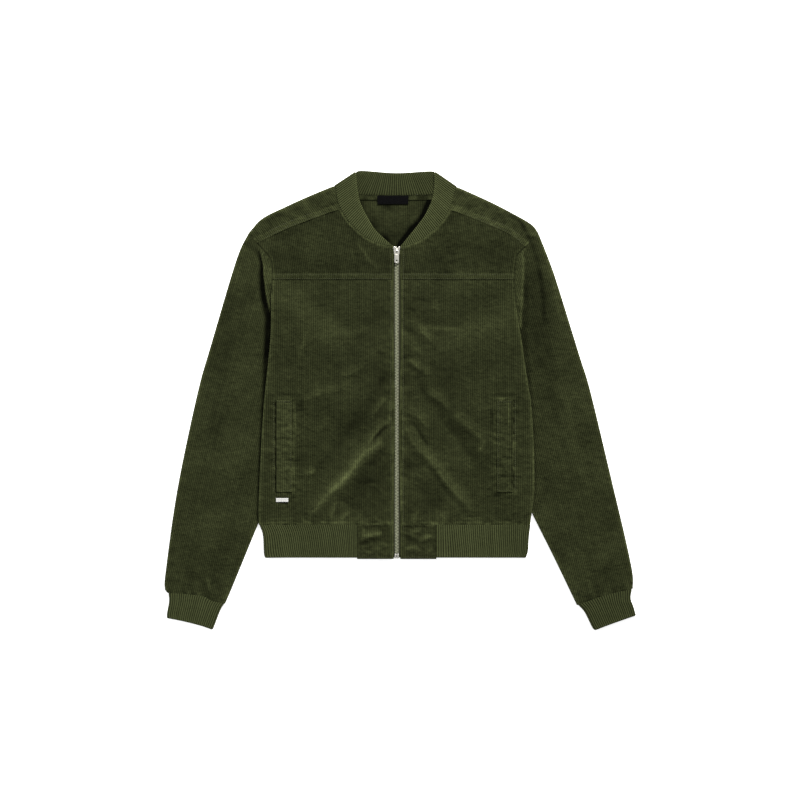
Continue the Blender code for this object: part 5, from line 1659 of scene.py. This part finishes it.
def cuff(name, material):
    lines = LINES[name]
    top = RIB + CUFF_STACK
    radius, bend = top / 2, top / 2 - RIB / 2
    foot, seam = lines["cuff_foot"], lines["cuff_seam"]
    outer_line, inner_line = lines["cuff_outer"], lines["cuff_inner"]
    wide = np.hypot(*(along(outer_line, 0.5) - along(inner_line, 0.5)))
    ribs = round((wide - 2 * radius) / RIB_PITCH)
    over = np.linspace(radius / wide, 1 - radius / wide, ribs * SAMPLES + 1)
    turns = np.radians(np.linspace(90, -90, 2 * SAMPLES + 1)[1:-1])
    share = np.concatenate([over, 1 - radius / wide + bend * np.cos(turns) / wide, over[::-1],
                            radius / wide - bend * np.cos(turns) / wide])
    height = np.concatenate([np.full(len(over), radius + bend), radius + bend * np.sin(turns),
                             np.full(len(over), radius - bend), radius - bend * np.sin(turns)])
    way = (along(inner_line, 0.5) - along(outer_line, 0.5)) / wide
    c, s = np.cos(turns)[:, None], np.sin(turns)
    up = np.array((0.0, 0.0, 1.0))
    facing = np.vstack([np.tile(up, (len(over), 1)), np.column_stack([way * c, s]),
                        np.tile(-up, (len(over), 1)), np.column_stack([-way * c, -s])])
    across = np.arange(len(share)) / SAMPLES
    top_edge = mix(outer_line[0], inner_line[0], share[:, None])
    seam_bow = y_at(seam, top_edge[:, 0]) - 2 * NEAR - top_edge[:, 1]
    foot_bow = along(foot, np.clip(share, 0, 1))[:, 1] - mix(foot[0], foot[-1], share[:, None])[:, 1]

    def places(v):
        a, b = along(outer_line, v), along(inner_line, v)
        p = mix(a, b, share[:, None])
        dome = np.where(facing[:, 2] > 0.99, 0.5 * np.sin(np.pi * v), 0.0)
        return np.column_stack([p[:, 0], p[:, 1] + mix(seam_bow, foot_bow, v), height + dome])

    long = np.hypot(*(along(outer_line, 1.0) - along(outer_line, 0.0)))
    piece = rib_band(f"{name}_cuff", places, facing, across, (0.3, 0.0), band_rows(long), long, material,
                     f"rib_cuff_{name}", 0 * share - {"left": 0.0, "right": 0.2}[name], ring=True)


# ---- Small parts ----

def small_part(name, verts, faces, cloth, material, slot, node, **looks):
    """A part from its points and faces, turned to face out."""
    piece = mesh_object(name, verts, faces, cloth, material, **looks)
    face_out(piece)
    return dressed(piece, slot, node)


def slab(x, y, upper, lower):
    """Points and faces of a thin part between two height fields over one grid."""
    m, n = x.shape
    verts = np.vstack([np.column_stack([x.ravel(), y.ravel(), z.ravel()]) for z in (upper, lower)])
    faces = []

    def at(face, i, j):
        return (face * m + i) * n + j

    for i in range(m - 1):
        for j in range(n - 1):
            faces += [(at(face, i, j), at(face, i, j + 1), at(face, i + 1, j + 1), at(face, i + 1, j))
                      for face in (0, 1)]
        faces += [(at(0, i, j), at(1, i, j), at(1, i + 1, j), at(0, i + 1, j)) for j in (0, n - 1)]
    for i in (0, m - 1):
        faces += [(at(0, i, j), at(1, i, j), at(1, i, j + 1), at(0, i, j + 1)) for j in range(n - 1)]
    return verts, faces


def prism_stack(points, faces, outline, levels):
    """Adds a stack of scaled outlines (z, scale) about the outline's own middle, closed at both ends."""
    start = len(points)
    n = len(outline)
    middle = outline.mean(axis=0)
    for z, scale in levels:
        points += [(*(middle + (p - middle) * scale), z) for p in outline]
    for level in range(len(levels) - 1):
        for j in range(n):
            k = (j + 1) % n
            a = start + level * n
            faces.append((a + j, a + k, a + n + k, a + n + j))
    faces.append(tuple(start + j for j in reversed(range(n))))
    faces.append(tuple(start + (len(levels) - 1) * n + j for j in range(n)))


TEETH_PITCH = 2.3
TOOTH = np.array([(0, -0.5), (2.3, -0.53), (2.95, -0.42), (3.3, -0.12), (3.3, 0.12), (2.95, 0.42), (2.3, 0.53),
                  (0, 0.5)])


def teeth(name, metal):
    sign = SIDES[name]["sign"]
    points, faces = [], []
    low, high = CHAIN_Z
    levels = [(low - 0.05, 0.72), (low + 0.3, 1.0), (high - 0.25, 1.0), (high + 0.05, 0.86), (high + 0.2, 0.6)]
    start = ZIP_FOOT_Y + 1.0 + (0 if name == "left" else TEETH_PITCH / 2)
    for y in np.arange(start, SLIDER_FOOT_Y + 1.5, TEETH_PITCH):
        outline = np.array([(ZIP_X + sign * (CHAIN_WIDTH / 2 - u), y + w) for u, w in TOOTH])
        prism_stack(points, faces, outline[::-1] if sign < 0 else outline, levels)
    small_part(f"{name}_teeth", points, faces, np.zeros((len(points), 3)), metal, "metal", "zip_chain",
               smooth_angle=30)


def zip_tape(name, material):
    """Woven tape with a corded edge under the teeth."""
    us = np.array([0.9, 1.3, 1.7, 2.2, 2.7, 3.2, 3.8, 4.6, 5.4, 7.0, 9.0, 13.0, 17.9])
    ys = np.arange(ZIP_FOOT_Y + NEAR, SLIDER_FOOT_Y + 8, 2.4)
    u, y = np.meshgrid(us, ys)
    upper = 3.95 + 0.32 * bell(u - 1.5, 0.5) + 0.05 * np.sin(y * 2.6 + u) * (u < 6)
    verts, faces = slab(ZIP_X + SIDES[name]["sign"] * u, y, upper, 3.3 + 0 * u)
    piece = small_part(f"{name}_tape", verts, faces, np.zeros((len(verts), 3)), material, "zip_tape",
                       f"zip_tape_{name}")


def plate(name, outlines, z, half_thick, bevel, material):
    """A flat plate with holes and rounded edges: outlines of (x, y), the first the outer one."""
    curve = bpy.data.curves.new(name, "CURVE")
    curve.dimensions = "2D"
    curve.fill_mode = "BOTH"
    curve.extrude = (half_thick - bevel) * MM
    curve.bevel_depth = bevel * MM
    curve.bevel_resolution = 2
    curve.offset = -bevel * MM
    for outline in outlines:
        spline = curve.splines.new("POLY")
        spline.points.add(len(outline) - 1)
        for point, (x, y) in zip(spline.points, outline):
            point.co = (x * MM, y * MM, 0.0, 1.0)
        spline.use_cyclic_u = True
    carrier = bpy.data.objects.new(name + "_curve", curve)
    bpy.context.scene.collection.objects.link(carrier)
    bpy.context.view_layer.update()
    mesh = bpy.data.meshes.new_from_object(carrier.evaluated_get(bpy.context.evaluated_depsgraph_get()))
    bpy.data.objects.remove(carrier)
    bm = bmesh.new()
    bm.from_mesh(mesh)
    bmesh.ops.remove_doubles(bm, verts=bm.verts, dist=1e-6)
    bmesh.ops.translate(bm, verts=bm.verts, vec=(0, 0, z * MM))
    bmesh.ops.recalc_face_normals(bm, faces=bm.faces)
    bm.to_mesh(mesh)
    bm.free()
    mesh.name = name
    mesh.materials.clear()
    mesh.materials.append(material)
    mesh.polygons.foreach_set("use_smooth", [True] * len(mesh.polygons))
    mesh.set_sharp_from_angle(angle=math.radians(35))
    piece = bpy.data.objects.new(name, mesh)
    bpy.context.scene.collection.objects.link(piece)
    return piece


def circle(x, y, radius, count=28):
    turns = np.arange(count) * 2 * np.pi / count
    return stack(x + radius * np.cos(turns), y + radius * np.sin(turns))


def joined(name, pieces):
    """One object from several."""
    bm = bmesh.new()
    for piece in pieces:
        piece.data.transform(piece.matrix_world)
        bm.from_mesh(piece.data)
    mesh = pieces[0].data
    bm.to_mesh(mesh)
    bm.free()
    for piece in pieces[1:]:
        bpy.data.objects.remove(piece)
    pieces[0].name = name
    mesh.name = name
    return pieces[0]


def slider(metal):
    """The slider: two plates with flared throats, side walls and the bridge that the pull hangs on."""
    half = smooth_line([(4.0, 225.9), (4.25, 228.0), (4.35, 231.0), (4.75, 233.4), (5.2, 235.6),
                        (5.15, 237.6)], 4)
    notch = [(4.3, 238.0), (3.1, 238.0), (2.2, 237.2), (1.0, 235.8), (0.0, 235.3)]
    right_side = np.vstack([half, notch])
    left_side = np.column_stack([-right_side[:-1, 0], right_side[:-1, 1]])[::-1]
    outline = np.vstack([right_side, left_side]) + (ZIP_X, 0)
    plates = [plate("slider_low", [outline], 2.75, 0.4, 0.22, metal),
              plate("slider_top", [outline], 6.35, 0.6, 0.35, metal)]
    for sign in (-1, 1):
        wall = np.array([(3.55, 226.3), (4.2, 226.3), (4.3, 231.0), (4.9, 234.0), (5.1, 237.2), (4.4, 237.2),
                         (4.1, 234.2), (3.6, 231.0)])
        wall[:, 0] = ZIP_X + sign * wall[:, 0]
        plates.append(plate("slider_wall", [wall], 4.5, 1.6, 0.15, metal))
    wedge = np.array([(-0.8, 237.0), (0.8, 237.0), (0.45, 234.6), (-0.45, 234.6)]) + (ZIP_X, -0.9)
    plates.append(plate("slider_wedge", [wedge], 4.5, 1.6, 0.15, metal))
    # the bridge, a bent bar of rounded section
    points, faces = [], []
    turns = np.radians(np.linspace(180, 0, 17))
    arch = [(PIVOT_Y + 1.75 * math.cos(t), PIVOT_Z + 0.1 + 1.6 * math.sin(t)) for t in turns]
    path = np.array([(PIVOT_Y - 1.75, 6.6), *arch, (PIVOT_Y + 1.75, 6.6)])
    way = np.gradient(path, axis=0)
    way /= np.hypot(*way.T)[:, None]
    normal = np.column_stack([-way[:, 1], way[:, 0]])
    section = [(math.cos(t), math.sin(t)) for t in np.radians(np.arange(22.5, 360, 45))]
    for p, n in zip(path, normal):
        for a, b in section:
            points.append((ZIP_X + 0.95 * a, p[0] + n[0] * 0.5 * b, p[1] + n[1] * 0.5 * b))
    for i in range(len(path) - 1):
        for j in range(8):
            k = (j + 1) % 8
            faces.append((i * 8 + j, i * 8 + k, i * 8 + 8 + k, i * 8 + 8 + j))
    faces += [tuple(range(8)), tuple(reversed(range(len(points) - 8, len(points))))]
    bridge = mesh_object("bridge", points, faces, np.zeros((len(points), 3)), metal, smooth_angle=60)
    face_out(bridge)
    dressed(joined("slider_body", plates + [bridge]), "metal", "zip_slider")


def pull(metal):
    """The pull tab with its eye and its round hole, in its resting place."""
    top, foot = PIVOT_Y + 0.6, PIVOT_Y + TAB_FOOT
    side = smooth_line([(1.3, top), (2.5, top - 0.6), (3.1, top - 2.4), (3.35, top - 6.0), (3.35, foot + 3.5),
                        (3.0, foot + 1.0), (2.0, foot + 0.1), (0.0, foot)], 4)
    outline = np.vstack([side, np.column_stack([-side[-2::-1, 0], side[-2::-1, 1]])]) + (ZIP_X, 0)
    eye = rounded_box(ZIP_X - 1.5, ZIP_X + 1.5, PIVOT_Y - 5.5, PIVOT_Y - 0.65, 1.0)
    hole = circle(ZIP_X, PIVOT_Y - 15.8, 1.4)
    tab = plate("pull_tab_metal", [outline, eye, hole], PIVOT_Z, 0.6, 0.3, metal)
    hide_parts("zip_pull")
    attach(tab, "pull_tab")


TAB_FOOT = -19.6


def zip_ends(metal):
    for name, side in SIDES.items():
        near, far = sorted(ZIP_X + side["sign"] * u for u in (0.4, 3.3))
        base = rounded_box(near, far, -244.7, ZIP_FOOT_Y - 0.05, 0.6)
        rib = rounded_box(near + 0.5, far - 0.5, -243.9, ZIP_FOOT_Y - 1.6, 0.5)
        plates = [plate("end_low", [base], 4.0, 1.0, 0.3, metal),
                  plate("end_rib", [rib], 4.95, 0.22, 0.12, metal)]
        dressed(joined(f"{name}_stop", plates), "metal", f"zip_end_{name}")


def neck_tape(material):
    """Facing over the back neck seam: a strip of the cloth with both edges turned under."""
    first, last = NECK_TAPE_X
    xs = np.arange(first, last + 0.1, WALE / 5)
    vs = np.array([0.0, 0.15, 0.5, 1.0, 2.0, 3.2, 4.4, 5.6, 6.6, 7.2, 7.7, 7.95, 8.1])
    x, v = np.meshgrid(xs, vs)
    y = y_at(NECK_LINE, x.ravel()).reshape(x.shape) - 0.4 - v
    edge = np.minimum(v, vs[-1] - v)
    thick = TRIM * rounding(edge, 0.8, 0.0009)
    ends = smooth((x - first + 0.3) / 1.2) * smooth((last + 0.3 - x) / 1.2)
    middle = CLOTH + 0.3 + TRIM / 2 + 0.08 * np.sin(x / 2.3) * np.exp(-abs(edge - 1.4) / 1.0)
    pile = wale_height((x + 0.4 * v) / WALE)
    upper = middle + (thick / 2 - 0.2 * (1 - pile)) * ends + 0.15 - 0.12 * bell(edge - 1.4, 0.4)
    verts, faces = slab(x, y, upper, middle - thick / 2 * ends)
    cloth = np.tile(np.column_stack([(x / WALE).ravel(), v.ravel(), pile.ravel()]), (2, 1))
    tone = 0.4 * drift(x, v, 6.0, 1) - 0.15 - 0.4 * bell(edge, 0.9)
    return small_part("neck_binding", verts, faces, cloth, material, "corduroy", "neck_tape",
                      tone=np.tile(tone.ravel(), 2))


def badge(name, node, edge, bulge, material, slot):
    """A small woven label in its solid's place: a thin cushion with soft edges."""
    (x0, y0, z0), (x1, y1, z1) = (np.array(corner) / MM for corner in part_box(node))
    wide, high = x1 - x0, y1 - y0

    def places(size, least):
        near = np.array([0, 0.15, 0.45])
        return np.concatenate([near, np.linspace(1.0, size - 1.0, max(int(size), least)), size - near[::-1]])

    a, b = np.meshgrid(places(wide, 8), places(high, 6))
    rim = np.minimum(np.minimum(a, wide - a), np.minimum(b, high - b))
    fat = (z1 - z0) / 2 * rounding(rim, edge, 0.001)
    middle = (z0 + z1) / 2 + bulge * np.sin(np.pi * a / wide) ** 2
    verts, faces = slab(x0 + a, y0 + b, middle + fat, middle - fat)
    small_part(name, verts, faces, np.zeros((len(verts), 3)), material, slot, node)


# ---- Stitches ----

STITCH_SECTION = np.array([(math.cos(t), math.sin(t)) for t in np.radians(np.arange(0, 360, 60))])


class Stitches:
    """Sewing thread: rows of short capsules that lie on the cloth."""

    def __init__(self):
        self.points, self.faces, self.cloth, self.count = [], [], [], 0

    def row(self, line, height, length=2.5, pitch=3.2, thick=0.32):
        """A row along a plan line at the heights that height(x, y) gives."""
        line = np.asarray(line, float)
        whole = run_of(line)[-1]
        middles = np.arange(pitch / 2, whole, pitch)
        jitter = RNG.uniform(-0.12, 0.12, (len(middles), 2))
        ends = [along(line, np.clip((middles + way * length / 2) / whole, 0, 1)) + jitter for way in (-1, 1)]
        tops = [height(*end.T) for end in ends]
        for a, b, za, zb in zip(*ends, *tops):
            self.one(np.array([*a, za]), np.array([*b, zb]), thick)

    def one(self, a, b, thick):
        way = b - a
        size = np.linalg.norm(way)
        if size < 0.6:
            return
        way /= size
        side = np.cross(way, (0, 0, 1.0))
        side /= np.linalg.norm(side)
        up = np.cross(side, way)
        rings = [(0.0, 0.35, -0.18), (0.14, 0.95, 0.0), (0.5, 1.0, 0.1), (0.86, 0.95, 0.0), (1.0, 0.35, -0.18)]
        for share, scale, rise in rings:
            centre = a + way * size * share + up * rise
            for c, s in STITCH_SECTION:
                self.points.append(centre + thick * scale * (side * c + up * s * 0.8))
                self.cloth.append((c, share * size, 1.0))
        start = self.count
        n = len(STITCH_SECTION)
        for i in range(len(rings) - 1):
            for j in range(n):
                k = (j + 1) % n
                self.faces.append((start + i * n + j, start + i * n + k, start + (i + 1) * n + k,
                                   start + (i + 1) * n + j))
        self.faces.append(tuple(start + j for j in reversed(range(n))))
        self.faces.append(tuple(start + (len(rings) - 1) * n + j for j in range(n)))
        self.count += len(rings) * n

    def make(self, name, material, slot):
        piece = mesh_object(name, self.points, self.faces, np.array(self.cloth), material)
        face_out(piece)
        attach(piece, "root")
        return piece


def sew(thread):
    """All the visible topstitching."""
    sewing = Stitches()

    def above(rise, uneven=True):
        return lambda x, y: front_top(x, y) + (unevenness(x, y) if uneven else 0) + rise

    for name, side in SIDES.items():
        sign = side["sign"]
        x = side["stitches"]
        sewing.row([(x, HEM_Y + 2), (x, 236.5)], above(-0.02))
        block = BLOCK_FOOT_Y + 3
        sewing.row([(x, block), (x, HEM_Y - 2)], lambda x, y: 6.35 + 0 * x)
        sewing.row([(x, block), (side["hem_block"] - sign * 2, block)], lambda x, y: 6.3 + 0 * x)
        for y in CHEST_STITCHES:
            sewing.row([(x, y), (x_at(LINES[name]["armhole"], y) - sign * 2.5, y)], above(0.28))
        seam = strip_edges(name)[0]
        way = np.gradient(seam, axis=0)
        way /= np.hypot(*way.T)[:, None]
        for gap, inside in STRIP_STITCHES:
            sewing.row((seam + gap * sign * stack(-way[:, 1], way[:, 0]))[inside], above(0.12, uneven=False))
        x0, x1 = sorted(side["welt"])
        mouth, sewn = (x0, x1) if name == "left" else (x1, x0)
        toward = 1 if mouth < sewn else -1
        in_side, in_end = WELT_SEWN
        low, high = WELT_Y[0] + in_end, WELT_Y[1] - in_end
        sewing.row([(sewn - toward * in_side, low), (sewn - toward * in_side, high)], above(1.05))
        for y in (low, high):
            sewing.row([(mouth + toward * 1.5, y), (sewn - toward * 1.5, y)], above(1.05),
                       length=2.2, pitch=2.6)
        beside = mouth - toward * 3.6
        sewing.row([(beside, WELT_Y[0] + 1), (beside, WELT_Y[1] - 1)], above(-0.02))
    sewing.make("topstitching", thread, "corduroy")


def main():
    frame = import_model()
    for node in frame["nodes"].values():
        node.data.materials.clear()
    corduroy = pile_looks("corduroy_pile", (0.0060, 0.0068, 0.0026), (0.0180, 0.0207, 0.0082),
                          thread=1700.0, creased=2.0, uneven=0.5, middle=0.7)
    rib = pile_looks("rib_pile", (0.0080, 0.0092, 0.0036), (0.0355, 0.0410, 0.0166),
                     thread=1500.0, creased=0.5, uneven=0.22, middle=0.52)
    thread = thread_looks("sewing_thread", (0.040, 0.045, 0.017))
    woven = weave_looks("tape_weave", (0.034, 0.036, 0.019), pitch=0.55, roughness=0.75)
    satin = weave_looks("label_satin", (0.0020, 0.0020, 0.0022), pitch=0.35, roughness=0.8, sheen=0.0,
                        contrast=0.25)
    silver = weave_looks("tag_weave", (0.62, 0.62, 0.60), pitch=0.45, roughness=0.45, contrast=0.2)
    metal = metal_looks("zip_metal", (0.78, 0.76, 0.68), roughness=0.34, metallic=1.0)
    matt = metal_looks("teeth_metal", (0.42, 0.435, 0.30), roughness=0.42, metallic=0.6)

    declare(*back(corduroy), [], pieces=[neck_tape(corduroy)])
    for name in SIDES:
        declare(*sleeve(name, corduroy), [], times=2)
    for name in SIDES:
        declare(*front_lower(name, corduroy), ["back_panel", f"{name}_sleeve"],
                pieces=[welt(name, corduroy), hem_block(name, corduroy)])
        declare(*front_upper(name, corduroy), ["back_panel"])
        declare(*shoulder_strip(name, corduroy), ["back_panel"], times=2)
        zip_tape(name, woven)
        teeth(name, matt)
    collar(rib)
    hem_rib(rib)
    for name in SIDES:
        cuff(name, rib)
    slider(metal)
    pull(metal)
    zip_ends(metal)
    badge("neck_label_blank", "neck_label", edge=0.6, bulge=0.25, material=satin, slot="label")
    badge("side_tag_blank", "side_tag", edge=0.5, bulge=0.0, material=silver, slot="tag")
    sew(thread)

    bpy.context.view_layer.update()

    stage()


# ---- The stage, in metres ----

FLOOR_HALF = 6.0
LAMPS = (       # place, power, size, colour
    ((0.85, 2.9, 2.0), 330.0, 0.9, (1.0, 0.985, 0.95)),
    ((-2.4, 0.6, 1.6), 22.0, 1.5, (0.95, 0.98, 1.0)),
)
HALF_VIEW = 0.62        # half the photo's width at the floor
CAMERA_HIGH = 2.6
CAMERA_OVER = (-0.00093, 0.00054)       # the middle of the photo


def stage():
    """A white floor, a soft key light from the upper right and an even sky."""
    floor = bpy.data.meshes.new("floor")
    corners = [(x * FLOOR_HALF, y * FLOOR_HALF, 0) for x, y in ((-1, -1), (1, -1), (1, 1), (-1, 1))]
    floor.from_pydata(corners, [], [(0, 1, 2, 3)])
    floor.materials.append(floor_looks())
    ground = bpy.data.objects.new("floor", floor)
    ground.location.z = -0.0002
    bpy.context.scene.collection.objects.link(ground)
    scene = bpy.context.scene
    scene.world = bpy.data.worlds.new("sky")
    scene.world.use_nodes = True
    sky = scene.world.node_tree.nodes["Background"]
    sky.inputs["Color"].default_value = (0.97, 0.985, 1.0, 1.0)
    sky.inputs["Strength"].default_value = 0.38
    for place, power, size, colour in LAMPS:
        lamp = bpy.data.lights.new("lamp", "AREA")
        lamp.energy = power
        lamp.size = size
        lamp.color = colour
        lamp_object = bpy.data.objects.new("lamp", lamp)
        lamp_object.location = place
        lamp_object.rotation_euler = (-Vector(place)).to_track_quat("-Z", "Y").to_euler()
        scene.collection.objects.link(lamp_object)
    camera = bpy.data.cameras.new("camera")
    camera.sensor_width = 36.0
    camera.lens = camera.sensor_width / 2 / (HALF_VIEW / CAMERA_HIGH)
    camera_object = bpy.data.objects.new("camera", camera)
    camera_object.location = (*CAMERA_OVER, CAMERA_HIGH)
    scene.collection.objects.link(camera_object)
    scene.camera = camera_object
    scene.view_settings.view_transform = "Standard"


main()
